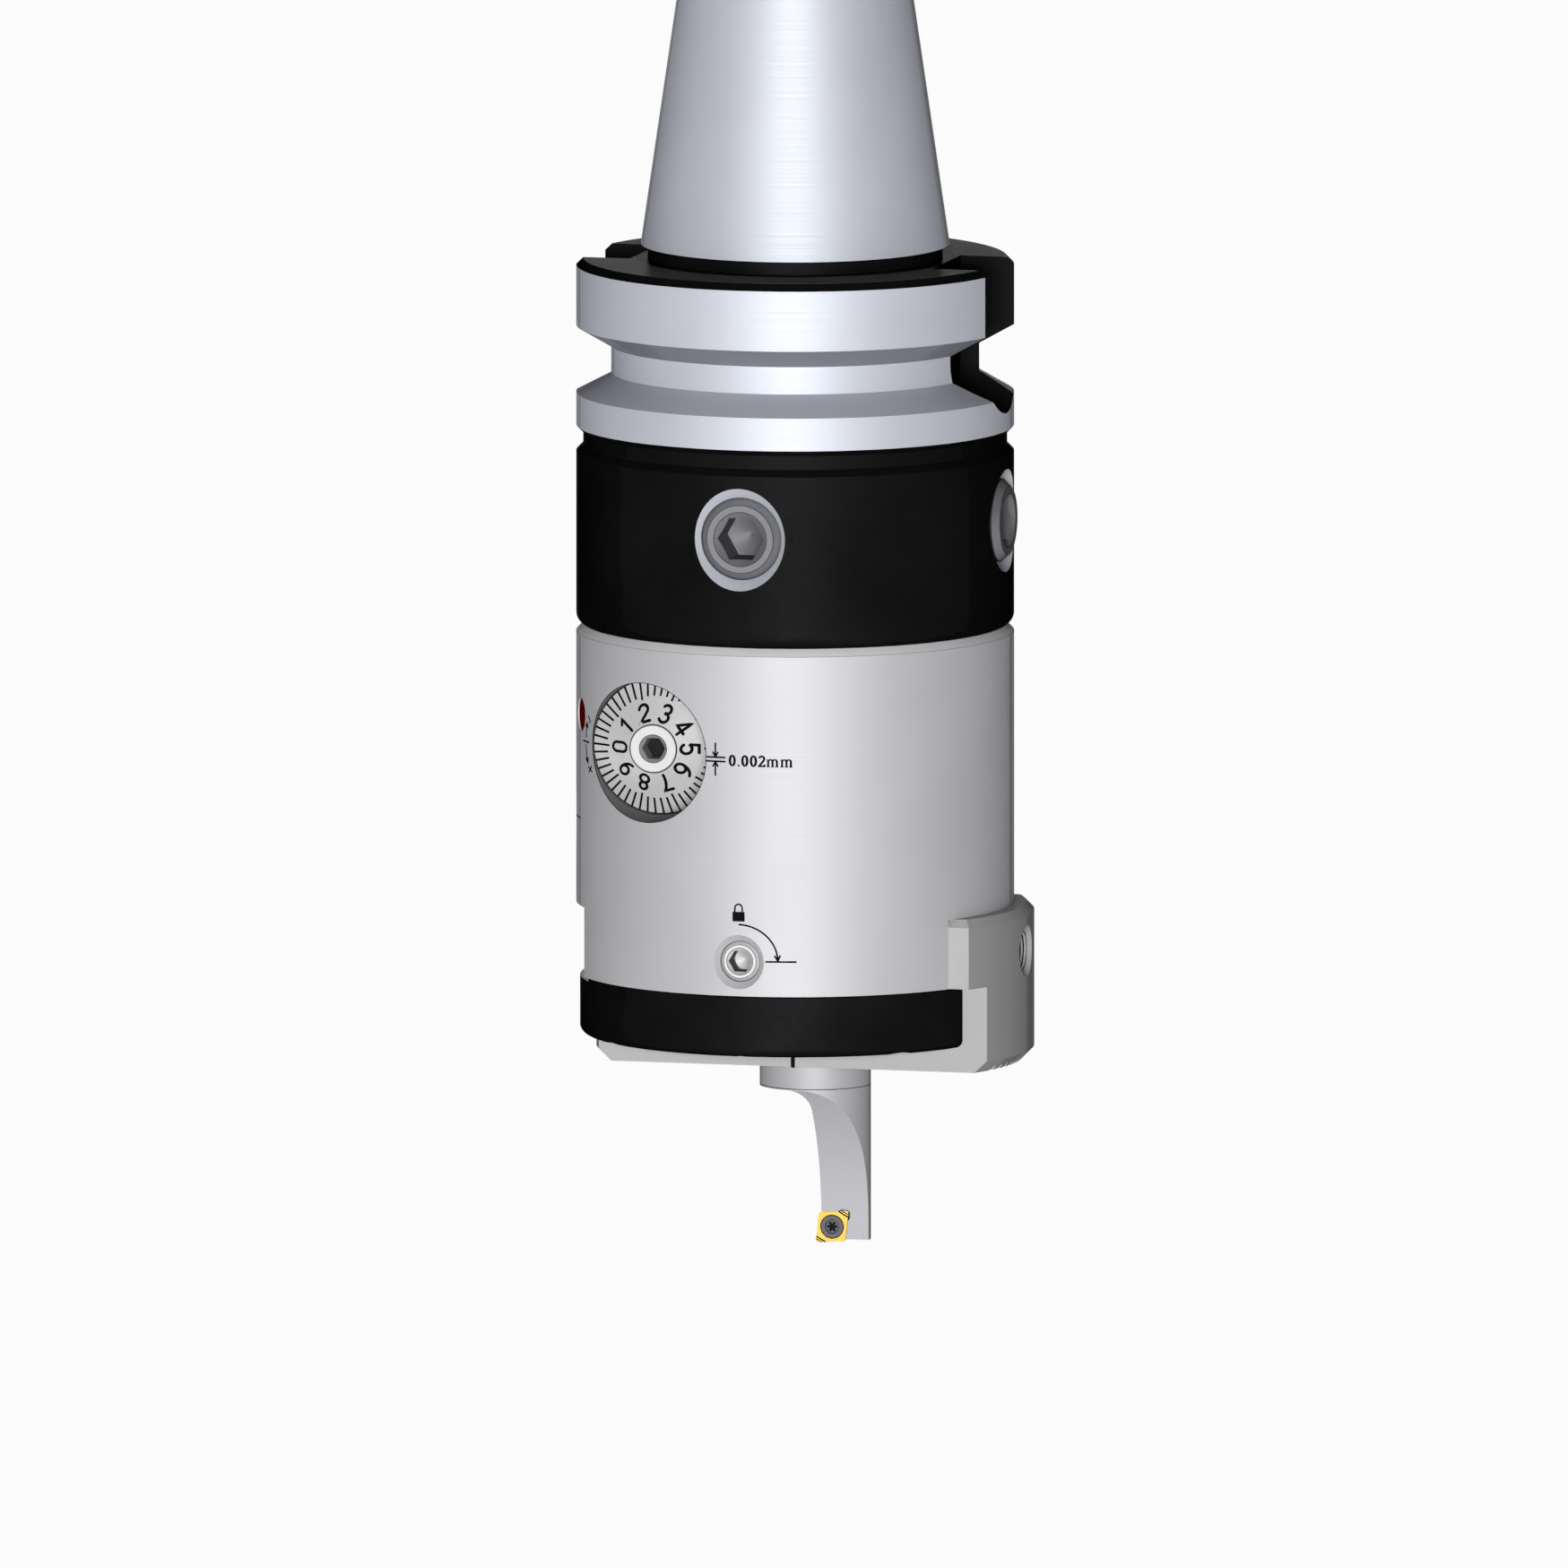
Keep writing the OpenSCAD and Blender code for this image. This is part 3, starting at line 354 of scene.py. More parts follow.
NICKEL = (0.54, 0.54, 0.56)
# Painted highlight on the head's top chamfer
LIT_CHAMFER_NICKEL = (0.86, 0.86, 0.88)
# Painted shade on the wall of the dial's pocket
POCKET_SHADE_GREY = (0.24, 0.24, 0.245)
SILVER = (0.58, 0.60, 0.66)
STEEL = (0.44, 0.44, 0.44)
BAR_STEEL = (0.46, 0.455, 0.48)
INNER_STEEL = (0.46, 0.46, 0.47)
SCREW_STEEL = (0.20, 0.20, 0.21)
LOCK_STEEL = (0.60, 0.60, 0.60)
BRONZE = (0.60, 0.36, 0.13)
BLACK = (0.0085, 0.0085, 0.009)
# Painted highlight on the holder's black top face
LIT_TOP_BLACK = (0.10, 0.10, 0.102)
SCREW_BLACK = (0.045, 0.045, 0.048)
# Painted shade for the gap lines round the dial, the mouth of its pocket, and the spindle's hub and socket
PAINTED_SHADE_BLACK = (0.02, 0.02, 0.02)
SCRIBED_BLACK = (0.06, 0.06, 0.065)
# Painted shade in the roots of the thread
ROOT_SHADE_BLACK = (0.03, 0.03, 0.03)
# Painted shade in the insert screw's recess and round its dish
RECESS_SHADE_BLACK = (0.012, 0.012, 0.014)
DIAL_GREY = (0.66, 0.66, 0.67)
PLUG_RED = (0.13, 0.0, 0.0)
# Painted shade on the insert's flanks
FLANK_SHADE_GOLD = (0.30, 0.20, 0.03)
# Painted shade round the insert's countersink
SINK_SHADE_GOLD = (0.03, 0.022, 0.008)

# Pairs of colours that fine lines or a haze blend
HUB_LIGHT = ((0.62, 0.62, 0.62), (0.68, 0.68, 0.68))
SOCKET_GREY = ((0.28, 0.28, 0.285), (0.33, 0.33, 0.335))
TOP_GOLD = ((0.76, 0.53, 0.11), (0.82, 0.59, 0.14))
INSERT_SCREW_GREY = ((0.11, 0.11, 0.115), (0.15, 0.15, 0.155))
SEAL_BLACK = ((0.010, 0.010, 0.010), (0.020, 0.020, 0.021))
MARK_BLACK = ((0.004, 0.004, 0.004), (0.010, 0.010, 0.010))


def machined(g, colour, rough, along, pitch=LINE_PITCH, relief=0.004):
    """Fine tool lines, specks, and a slow drift of the roughness"""
    drift_reach, line_reach = 0.025, 0.03
    fine = g.lines(along, pitch)
    speck = g.noise(SPECK, 2.0)
    drift = g.around(g.noise(HAZE), rough, drift_reach)
    g.set("Base Color", colour)
    g.set("Roughness", g.math("ADD", drift, g.around(fine, 0.0, line_reach)))
    g.bump(fine, relief)
    g.bump(speck, relief * 0.6)
    return g.mat


def fine_turned(g, colour, fine, rough):
    """Very fine lines in the roughness, which goes from the first to the second number, and in the relief"""
    g.set("Base Color", colour)
    g.set("Roughness", g.mix_number(fine, *rough))
    g.bump(fine, 0.002)
    return g.mat


def grained(g, colour, grain, rough, relief=0.0):
    """A fine grain in the roughness, which goes from the first to the second number, and in the relief"""
    g.set("Base Color", colour)
    g.set("Roughness", g.between(grain, *rough))
    if relief:
        g.bump(grain, relief)
    return g.mat


def turned_metal(name, colour, metallic, rough, axis="z", centre=(0.0, 0.0), **values):
    """Metal turned round an axis, for the plain pieces"""
    g = Graph(name, Metallic=metallic, **values)
    return machined(g, g.shades(colour), rough, g.turned(axis, centre))


def head_material():
    """Satin nickel, with a painted highlight on the chamfer on top, and painted shade in the dial's pocket
    with a black line round its mouth
    """
    line_w, line_depth = 0.09, 0.08
    g = Graph("satin_nickel", Metallic=0.37, **SATIN)
    r = g.radius()
    # Painted highlight: the chamfer on top is painted much lighter than the barrel, as if lit from above
    chamfer = g.both(g.above(g.z, HEAD_CHAMFER_Z), g.below(r, BODY_R - HAIR))
    # Painted shade: the pocket's wall is painted dark grey, and a black line round its mouth stands for the
    # shade of the gap
    pocket = g.both(g.below(g.radius("y", DIAL_AT), POCKET_R + line_w), g.below(g.y, POCKET_BACK_Y))
    inside = g.mix(g.above(r, BODY_R - line_depth), POCKET_SHADE_GREY, PAINTED_SHADE_BLACK)
    colour = g.mix(chamfer, g.shades(NICKEL), LIT_CHAMFER_NICKEL)
    return machined(g, g.mix(pocket, colour, inside), rough=0.62, along=g.turned())


def slide_material():
    """Steel ground with straight lines; the turned end and the foot's chamfer are painted darker as painted
    shade, and the grooves in its foot are painted lighter as painted highlight
    """
    g = Graph("slide_steel", Metallic=0.3, **SATIN)
    r = g.radius("z", (SLIDE_X, 0.0))
    shaded_turned_end = g.above(r, BODY_R - HAIR)
    # On the foot's chamfer the radius grows as fast as the height
    slant = g.math("SUBTRACT", r, g.z)
    chamfer_slant = BODY_R - FOOT_CHAMFER - SLIDE_FOOT_Z
    foot = g.both(g.below(g.z, SLIDE_FOOT_Z + FOOT_CHAMFER), g.above(r, BODY_R - FOOT_CHAMFER))
    chamfer = g.both(foot, g.above(slant, chamfer_slant - HAIR))
    groove = g.both(foot, g.below(slant, chamfer_slant - HAIR), g.near(g.y, 0.0, -STEM_FRONT - HAIR))
    # Painted shade: the turned end and the foot's chamfer are painted darker than the steel
    colour = g.mix(g.either(shaded_turned_end, chamfer), g.shades(STEEL), tint(STEEL, 0.78))
    # Painted highlight: the grooves in the foot are painted lighter than the steel
    colour = g.mix(groove, colour, tint(STEEL, 1.5))
    return machined(g, colour, rough=0.7, along=g.z, pitch=0.3, relief=0.003)


def bar_material():
    """Turned bar with a scribed line at the end of its round head"""
    half_line = 0.06
    g = Graph("bar_steel", Metallic=0.35, **SATIN)
    colour = g.mix(g.near(g.z, BAR_LINE_Z, half_line), g.shades(BAR_STEEL), SCRIBED_BLACK)
    return machined(g, colour, rough=0.64, along=g.turned("z", (SLIDE_X, 0.0)))


def ring_material():
    """Black oxide: a dark skin with a faint grain and soft cloudy patches"""
    patch, grain_size, pitch = 12.0, 0.5, 0.4
    g = Graph("black_ring", Metallic=0.6, **SATIN)
    grain = g.noise(grain_size)
    g.set("Base Color", g.shades(BLACK, 0.8, 1.3, patch))
    g.set("Roughness", g.math("ADD", g.between(g.noise(patch), 0.52, 0.58), g.around(grain, 0.0, 0.04)))
    g.bump(g.lines(g.turned(), pitch), 0.003)
    g.bump(grain, 0.004)
    return g.mat


def holder_zones(g, r):
    """1 on the ground faces of the holder and 0 on its black ones"""
    edge_w, slot_margin, slot_floor_margin = 0.05, 0.008, 0.1
    taper = g.above(g.z, HAIR)
    band_top = FLANGE_TOP_Z - FLANGE_CHAMFER - edge_w
    band = g.both(g.above(g.z, FLANGE_LOW_Z), g.below(g.z, band_top), g.above(r, FLANGE_INNER_R))
    # A drive slot is a straight cut above the centre of its round end
    under = g.math("MINIMUM", g.math("SUBTRACT", g.z, DRIVE_SLOT_Z), 0.0)
    reach = g.math("SQRT", g.math("ADD", g.both(under, under), g.both(g.y, g.y)))
    outside = g.above(g.math("ABSOLUTE", g.x), DRIVE_SLOT_X - slot_floor_margin)
    slot = g.both(outside, g.below(reach, DRIVE_SLOT_R + slot_margin))
    flange = g.both(band, g.math("SUBTRACT", 1.0, slot))
    from_screw = g.math("MINIMUM", g.radius("y", (0.0, CLAMP_Z)), g.radius("x", (0.0, CLAMP_Z)))
    sink = g.both(g.below(from_screw, CLAMP_SINK_R + HAIR), g.above(r, CLAMP_SINK_INNER_R),
                  g.below(r, BODY_R - HAIR))
    return g.either(taper, flange, sink)


def holder_silver(g, r):
    """Ground steel, with painted shade on the upper and the lower flank of the gripper groove, the upper one
    darker
    """
    margin = 0.013
    inside = g.below(r, BODY_R - HAIR)
    colour = g.shades(SILVER, low=0.97)
    # Painted shade: both flanks of the groove are painted darker, the upper, downward-facing one most
    for way, strength in ((1, 0.55), (-1, 0.87)):
        rise = g.math("MULTIPLY", g.math("SUBTRACT", g.z, GROOVE_Z), way)
        flank = g.both(inside, g.above(rise, GROOVE_FLOOR_HALF + margin),
                       g.below(rise, GROOVE_MOUTH_HALF - margin))
        colour = g.mix(flank, colour, tint(SILVER, strength))
    return colour


def holder_material():
    """Ground steel on the taper and the flange, and a black skin elsewhere"""
    g = Graph("holder_steel", **SATIN)
    r = g.radius()
    ground = holder_zones(g, r)
    fine = g.lines(g.turned(), LINE_PITCH)
    haze = g.noise(HAZE)
    speck = g.noise(SPECK, 2.0)
    # Painted highlight: the flange's black top face is painted lighter grey than the rest of the black skin,
    # as if lit from above
    top = g.both(g.above(g.z, FLANGE_TOP_Z - HAIR), g.above(r, TOP_INNER_R))
    black = g.mix(top, g.shades(BLACK, 0.8, 1.25), LIT_TOP_BLACK)
    g.set("Base Color", g.mix(ground, black, holder_silver(g, r)))
    g.set("Metallic", g.mix_number(ground, 0.6, 0.42))
    silver_rough = g.math("ADD", g.between(haze, 0.59, 0.62), g.around(fine, 0.0, 0.03))
    black_rough = g.math("ADD", g.between(haze, 0.54, 0.60), g.around(speck, 0.0, 0.03))
    g.set("Roughness", g.mix_number(ground, black_rough, silver_rough))
    g.bump(fine, 0.003)
    g.bump(speck, 0.003)
    return g.mat


def dial_material():
    """Satin dial, with a line of painted gap shade round its middle and another round its rim"""
    line_w, line_depth, hub_line_w = 0.06, 0.08, 0.1
    g = Graph("dial_satin", Metallic=0.25, **SATIN)
    r = g.radius("y", DIAL_AT)
    rim = g.both(g.above(r, RIM_R - line_w), g.above(g.y, RIM_FRONT - line_w),
                 g.below(g.y, RIM_FRONT + line_depth))
    # Painted shade: black lines at the hub and along the rim stand for the shade in the gaps there
    gap = g.either(rim, g.below(r, HUB_R + hub_line_w))
    colour = g.mix(gap, g.shades(DIAL_GREY, low=0.97, cloud=12.0), PAINTED_SHADE_BLACK)
    return machined(g, colour, rough=0.5, along=g.turned("y", DIAL_AT), pitch=0.25)


def spindle_material():
    """Bright turned spindle end; its socket is grey, with painted shade on its floor, round its mouth and
    round the hub's edge
    """
    mouth_line_w, hub_line_w, floor_margin = 0.08, 0.05, 0.3
    g = Graph("spindle_steel", Metallic=0.25, **SATIN)
    r = g.radius("y", DIAL_AT)
    socket = g.below(r, SOCKET_MOUTH_R + HAIR)
    mouth = g.both(g.above(r, SOCKET_MOUTH_R), g.below(r, SOCKET_MOUTH_R + mouth_line_w))
    floor = g.both(socket, g.above(g.y, HUB_FRONT + SOCKET_DEPTH - floor_margin))
    # Painted shade: the hub's edge, the socket's mouth and the socket's floor are painted black where shade
    # falls
    dark = g.either(g.above(r, HUB_R - hub_line_w), mouth, floor)
    fine = g.between(g.lines(g.turned("y", DIAL_AT), 0.2), 0.0, 1.0)
    bright = g.mix(socket, g.mix(fine, *HUB_LIGHT), g.mix(fine, *SOCKET_GREY))
    return fine_turned(g, g.mix(dark, bright, PAINTED_SHADE_BLACK), fine, rough=(0.52, 0.60))


def screw_colour(g, colour, centre_z, line_radii):
    """A screw's colour, with fine dark lines where its chamfers and its socket begin, and the radius"""
    half_line = 0.05
    centre = (0.0, centre_z)
    r = g.math("MINIMUM", g.radius("y", centre), g.radius("x", centre))
    lines = g.either(*[g.near(r, radius, half_line) for radius in line_radii])
    return g.mix(lines, g.shades(colour), tint(colour, 0.25)), r


def clamp_screw_material():
    """Dark steel"""
    g = Graph("screw_steel", Metallic=0.5, **SATIN)
    colour, _ = screw_colour(g, SCREW_STEEL, CLAMP_Z, CLAMP_LINE_RADII)
    return machined(g, colour, rough=0.5, along=g.turned("y", (0.0, CLAMP_Z)))


def lock_screw_material():
    """Light steel; the walls of the hex socket lie in shade"""
    g = Graph("lock_steel", Metallic=0.5, **SATIN)
    colour, r = screw_colour(g, LOCK_STEEL, LOCK_Z, LOCK_LINE_RADII)
    walls = g.both(g.above(r, LOCK_HEX_R - HAIR), g.below(r, LOCK_HEX_CORNER_R),
                   g.above(g.y, LOCK_FRONT + LOCK_MOUTH_DEPTH))
    colour = g.mix(walls, colour, tint(LOCK_STEEL, 0.3))
    return machined(g, colour, rough=0.5, along=g.turned("y", (0.0, LOCK_Z)))


def insert_material():
    """Yellow-gold coating, with painted shade on the ground flanks and in a ring round the countersink"""
    edge_w = 0.1
    g = Graph("coated_carbide", Metallic=0.35, **COATED)
    haze = g.between(g.noise(1.5), 0.0, 1.0)
    face = g.below(g.y, INSERT_FRONT + HAIR)
    sink = g.below(g.radius("y", INSERT_MID), INSERT_SINK_R + edge_w)
    # Painted shade: every face but the front one is painted dark gold
    colour = g.mix(face, FLANK_SHADE_GOLD, g.mix(haze, *TOP_GOLD))
    # Painted shade: a ring round the countersink is painted near black
    return grained(g, g.mix(sink, colour, SINK_SHADE_GOLD), g.noise(0.12), rough=(0.36, 0.48), relief=0.002)


def insert_screw_material():
    """Dark steel screw, with painted shade in a ring round its dish and in its star recess, which is painted
    black
    """
    dish_r, ring_w, face_depth = 0.93, 0.12, 0.25
    g = Graph("insert_screw_steel", Metallic=0.5, **SATIN)
    r = g.radius("y", INSERT_MID)
    recess = g.above(g.y, INSERT_FRONT + face_depth)
    ring = g.both(g.above(r, dish_r), g.below(r, dish_r + ring_w))
    fine = g.between(g.lines(g.turned("y", INSERT_MID), 0.15), 0.0, 1.0)
    # Painted shade: the star recess and a ring round the dish are painted near black
    colour = g.mix(g.either(recess, ring), g.mix(fine, *INSERT_SCREW_GREY), RECESS_SHADE_BLACK)
    return fine_turned(g, colour, fine, rough=(0.5, 0.6))


def thread_material():
    """Thread of the slide's end hole: crests painted lighter as painted highlight, and roots painted near
    black as painted shade
    """
    centre = (0.0, SLIDE_CLAMP_Z)
    g = Graph("thread_steel", Metallic=0.3, **SATIN)
    crest = g.below(g.radius("x", centre), SLIDE_CLAMP_R - THREAD_DEPTH / 2)
    # Painted shade in the roots and painted highlight on the crests of one and the same steel
    colour = g.mix(crest, ROOT_SHADE_BLACK, tint(STEEL, 1.3))
    return machined(g, colour, rough=0.6, along=g.turned("x", centre))


def seal_material():
    """Matt black rubber"""
    g = Graph("seal_rubber")
    grain = g.noise(0.2)
    return grained(g, g.mix(grain, *SEAL_BLACK), grain, rough=(0.55, 0.68), relief=0.004)


def plug_material():
    """Moulded dark red plastic"""
    g = Graph("red_plastic", **MATT)
    colour = g.shades(PLUG_RED, 0.85, 1.15, cloud=2.0)
    return grained(g, colour, g.noise(0.35), rough=(0.36, 0.48), relief=0.004)


def mark_material():
    """Black filling of engraved marks"""
    g = Graph("mark_black", **MATT)
    grain = g.noise(0.15, 2.0)
    return grained(g, g.mix(grain, *MARK_BLACK), grain, rough=(0.5, 0.62))


def set_finishes():
    """Give every node its material"""
    lead = (0.0, LEAD_Z)
    bronze_nodes = ["front_bush", "rear_bush", "worm_wheel", "lead_screw_bush", "end_bush", "drive_nut",
                    "lock_pad"]
    inner_nodes = ["drive_pin", "dial_pin", "spindle_washer", "wheel_pin", "lead_screw", "plug_washer",
                   "stop_pin"]
    dark = turned_metal("clamp_screw_steel", SCREW_STEEL, metallic=0.7, rough=0.5, **SATIN)
    black = turned_metal("screw_black", SCREW_BLACK, metallic=0.6, rough=0.4)
    bronze = turned_metal("bronze", BRONZE, metallic=0.9, rough=0.36, axis="x", centre=lead)
    inner = turned_metal("inner_steel", INNER_STEEL, metallic=0.9, rough=0.32, axis="x", centre=lead)
    groups = [
        (dark, ["bar_clamp_screw"]),
        (black, ["nut_screws", "ring_screws", "bearing_plug"]),
        (bronze, bronze_nodes),
        (inner, inner_nodes),
        (seal_material(), ["spigot_o_ring", "dial_o_ring"]),
        (holder_material(), ["holder"]),
        (head_material(), ["head_body"]),
        (clamp_screw_material(), ["clamp_screws"]),
        (lock_screw_material(), ["lock_screw"]),
        (dial_material(), ["dial"]),
        (spindle_material(), ["dial_spindle"]),
        (slide_material(), ["slide"]),
        (ring_material(), ["cover_ring"]),
        (bar_material(), ["boring_bar"]),
        (insert_material(), ["insert"]),
        (insert_screw_material(), ["insert_screw"]),
        (plug_material(), ["filler_plug"]),
    ]
    for mat, names in groups:
        for name in names:
            mesh = NODES[name].data
            mesh.materials.clear()
            mesh.materials.append(mat)


# Surfaces that carry marks: each takes a point in front view and gives the place and the outward direction


def on_barrel(x, z):
    y = -math.sqrt(BODY_R ** 2 - x * x)
    return Vector((x, y, z)), Vector((x, y, 0)).normalized()


def on_cone(u, v):
    """The dial's cone; u and v start from the dial's middle"""
    r = math.hypot(u, v)
    slope = (RIM_FRONT - HUB_FRONT) / (RIM_R - HUB_R)
    tilt = math.atan(slope)
    y = HUB_FRONT + (r - HUB_R) * slope
    out = Vector((u / r * math.sin(tilt), -math.cos(tilt), v / r * math.sin(tilt)))
    return Vector((DIAL_X + u, y, DIAL_Z + v)), out


def on_slide(x, z):
    return Vector((x, STEM_FRONT, z)), Vector((0, -1, 0))


def on_insert(x, z):
    return Vector((x, INSERT_FRONT, z)), Vector((0, -1, 0))


def split_line(points, closed, step):
    """The points of a line again, with more between them so that no gap is longer than step"""
    out = []
    count = len(points)
    for i in range(count if closed else count - 1):
        a, b = Vector(points[i]), Vector(points[(i + 1) % count])
        n = max(1, math.ceil((b - a).length / step))
        out.extend(a.lerp(b, k / n) for k in range(n))
    if not closed:
        out.append(Vector(points[-1]))
    return out


class Marks:
    """Filled strokes on a surface, each a closed strip that stands a hair above it and is sunk in it"""

    def __init__(self, name, surface, lift=0.015, sink=0.03):
        self.bm = bmesh.new()
        self.name, self.surface, self.lift, self.sink = name, surface, lift, sink

    def pair(self, x, y):
        """Upper and lower point of the strip at a place"""
        place, out = self.surface(x, y)
        return [self.bm.verts.new((place + out * reach) * MM) for reach in (self.lift, -self.sink)]

    def stroke(self, points, width, closed=False, step=0.5, thin=None, round_ends=False):
        """A line with a width; with thin, its level parts are that narrow, as those of a pen are"""
        pts = split_line(points, closed, step)
        count = len(pts)
        rows = []
        for i, p in enumerate(pts):
            before = p - pts[i - 1] if closed or i else pts[1] - p
            after = pts[(i + 1) % count] - p if closed or i < count - 1 else before
            across = [Vector((-d.y, d.x)).normalized() for d in (before, after)]
            middle = (across[0] + across[1]).normalized()
            pen = width if thin is None else thin + (width - thin) * abs(middle.x)
            # At a bend the line is wider, but not without limit where the bend is sharp
            rows.append((p, middle, pen / 2 / max(0.55, middle.dot(across[0]))))
        if round_ends and not closed:
            rows = self.round_row(rows[0], -1)[::-1] + rows + self.round_row(rows[-1], 1)
        sides = [[self.pair(*(p + m * reach)), self.pair(*(p - m * reach))] for p, m, reach in rows]
        self.strip(sides, closed)

    @staticmethod
    def round_row(row, way):
        """Two narrower rows beyond the end of a line"""
        p, middle, reach = row
        ahead = Vector((middle.y, -middle.x)) * way
        steps = ((0.6, 0.8), (0.95, 0.35))
        return [(p + ahead * reach * far, middle, reach * narrow) for far, narrow in steps]

    def strip(self, rows, closed):
        """Faces round a row of sections; each section has a left and a right pair of points"""
        count = len(rows)
        for i in range(count if closed else count - 1):
            (a, c), (b, d) = rows[i]
            (e, g), (f, h) = rows[(i + 1) % count]
            for quad in ((a, b, f, e), (d, c, g, h), (c, a, e, g), (b, d, h, f)):
                self.bm.faces.new(quad)
        if not closed:
            for (a, c), (b, d) in (rows[0], rows[-1]):
                self.bm.faces.new((a, c, d, b))

    def patch(self, points):
        """A filled convex outline"""
        pairs = [self.pair(x, y) for x, y in points]
        self.bm.faces.new([top for top, low in pairs])
        self.bm.faces.new([low for top, low in reversed(pairs)])
        for (a, c), (b, d) in zip(pairs, pairs[1:] + pairs[:1]):
            self.bm.faces.new((a, c, d, b))

    def done(self, body, mat):
        finish_piece(self.bm, self.name, body, mat)


def finish_piece(bm, name, body, mat):
    """Turn a mesh under construction into a piece that rides a body of the part"""
    bmesh.ops.recalc_face_normals(bm, faces=bm.faces)
    mesh = bpy.data.meshes.new(name)
    bm.to_mesh(mesh)
    bm.free()
    mesh.materials.append(mat)
    piece = bpy.data.objects.new(name, mesh)
    SCENE.collection.objects.link(piece)
    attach(piece, body)


def arc(cx, cy, rx, ry, start, end, parts=14):
    """Points of an arc, with its angles in degrees"""
    angles = [math.radians(start + (end - start) * i / parts) for i in range(parts + 1)]
    return [(cx + rx * math.cos(a), cy + ry * math.sin(a)) for a in angles]


def ring_point(radius, degrees, centre=(0, 0)):
    """Point of a circle at an angle from the right"""
    a = math.radians(degrees)
    return Vector((centre[0] + radius * math.cos(a), centre[1] + radius * math.sin(a)))


def digit_strokes(digit):
    """Strokes of a plain upright digit, 1 high and about 0.6 wide round its middle, and if each closes"""
    half = 0.29
    shapes = {
        0: [(arc(0, 0.5 - half, half, half, 0, 180) + arc(0, half - 0.5, half, half, 180, 360), True)],
        1: [([(-0.20, 0.27), (0.06, 0.5), (0.06, -0.5)], False)],
        2: [(arc(0, 0.22, half, 0.28, 170, -28) + [(-half, -0.5), (half + 0.02, -0.5)], False)],
        3: [(arc(-0.02, 0.25, 0.27, 0.25, 150, -90), False),
            (arc(-0.02, -0.235, half, 0.265, 90, -150), False)],
        4: [([(0.12, -0.5), (0.12, 0.5), (-0.32, -0.2), (0.33, -0.2)], False)],
        5: [([(0.26, 0.5), (-0.22, 0.5), (-0.27, 0.04)] + arc(-0.01, -0.19, 0.30, 0.31, 140, -150), False)],
        6: [(arc(0.25, -0.19, 0.25 + half, 0.69, 100, 180, 8), False),
            (arc(0, -0.19, half, 0.31, 0, 345), True)],
        7: [([(-0.28, 0.5), (0.29, 0.5)] + arc(0.55, -0.5, 0.63, 1.1, 114, 180, 6), False)],
        8: [(arc(0, 0.26, 0.24, 0.24, 0, 345), True), (arc(0, -0.24, half, 0.26, 0, 345), True)],
        9: [(arc(-0.25, 0.19, 0.25 + half, 0.69, 280, 360, 8), False),
            (arc(0, 0.19, half, 0.31, 0, 345), True)],
    }
    return shapes[digit]


def dial_scale(mat):
    """Fifty ticks and ten plain numbers that run clockwise, the first at the left"""
    ticks, digits, first = 50, 10, 180
    tick_w, short_tick_r, long_tick_r, tick_end_r = 0.30, 7.4, 7.05, RIM_R - 0.03
    digit_w, digit_r, digit_wide, digit_high = 0.42, 5.22, 2.3, 2.35
    marks = Marks("dial_scale", on_cone)
    for i in range(ticks):
        out = ring_point(1, first - 360 / ticks * i)
        inner_r = short_tick_r if i % (ticks // digits) else long_tick_r
        marks.stroke([out * inner_r, out * tick_end_r], tick_w, step=1.0)
    for digit in range(digits):
        up = ring_point(1, first - 360 / digits * digit)
        right = Vector((up.y, -up.x))
        for points, closed in digit_strokes(digit):
            line = [up * (digit_r + y * digit_high) + right * (x * digit_wide) for x, y in points]
            marks.stroke(line, digit_w, closed, step=0.4, round_ends=True)
    marks.done("dial", mat)


def arrow_head(marks, tip, towards, length, half, width):
    """Two strokes that meet at the tip of an arrow"""
    ahead = Vector(towards).normalized()
    side = Vector((-ahead.y, ahead.x))
    tail = Vector(tip) - ahead * length
    marks.stroke([tail + side * half, Vector(tip), tail - side * half], width, step=0.6)


def turn_marks(marks, middle_z):
    """Left of the dial: an index line, and an arrow both ways between a minus and a plus"""
    index_start, index_end, index_w = -27.4, -25.87, 0.24
    arrow_r, arrow_w, arrow_parts = 11.62, 0.2, 6
    marks.stroke([(index_start, middle_z), (index_end, middle_z)], index_w, step=0.4)
    for way, sweep in ((1, 13.5), (-1, 15.5)):
        start, tip = 180 - way * 2.2, 180 - way * sweep
        angles = [start + (tip - start) * i / arrow_parts for i in range(arrow_parts + 1)]
        line = [ring_point(arrow_r, angle, DIAL_AT) for angle in angles]
        marks.stroke(line, arrow_w, step=0.4)
        arrow_head(marks, line[-1], line[-1] - line[-2], 0.75, 0.3, arrow_w)
    minus, minus_reach = Vector((-25.8, middle_z + 3.41)), Vector((0.30, -0.50))
    plus, plus_reaches = Vector((-25.61, middle_z - 3.82)), (Vector((0.30, 0.50)), Vector((0.48, -0.34)))
    marks.stroke([minus - minus_reach, minus + minus_reach], arrow_w)
    for reach in plus_reaches:
        marks.stroke([plus - reach, plus + reach], arrow_w)


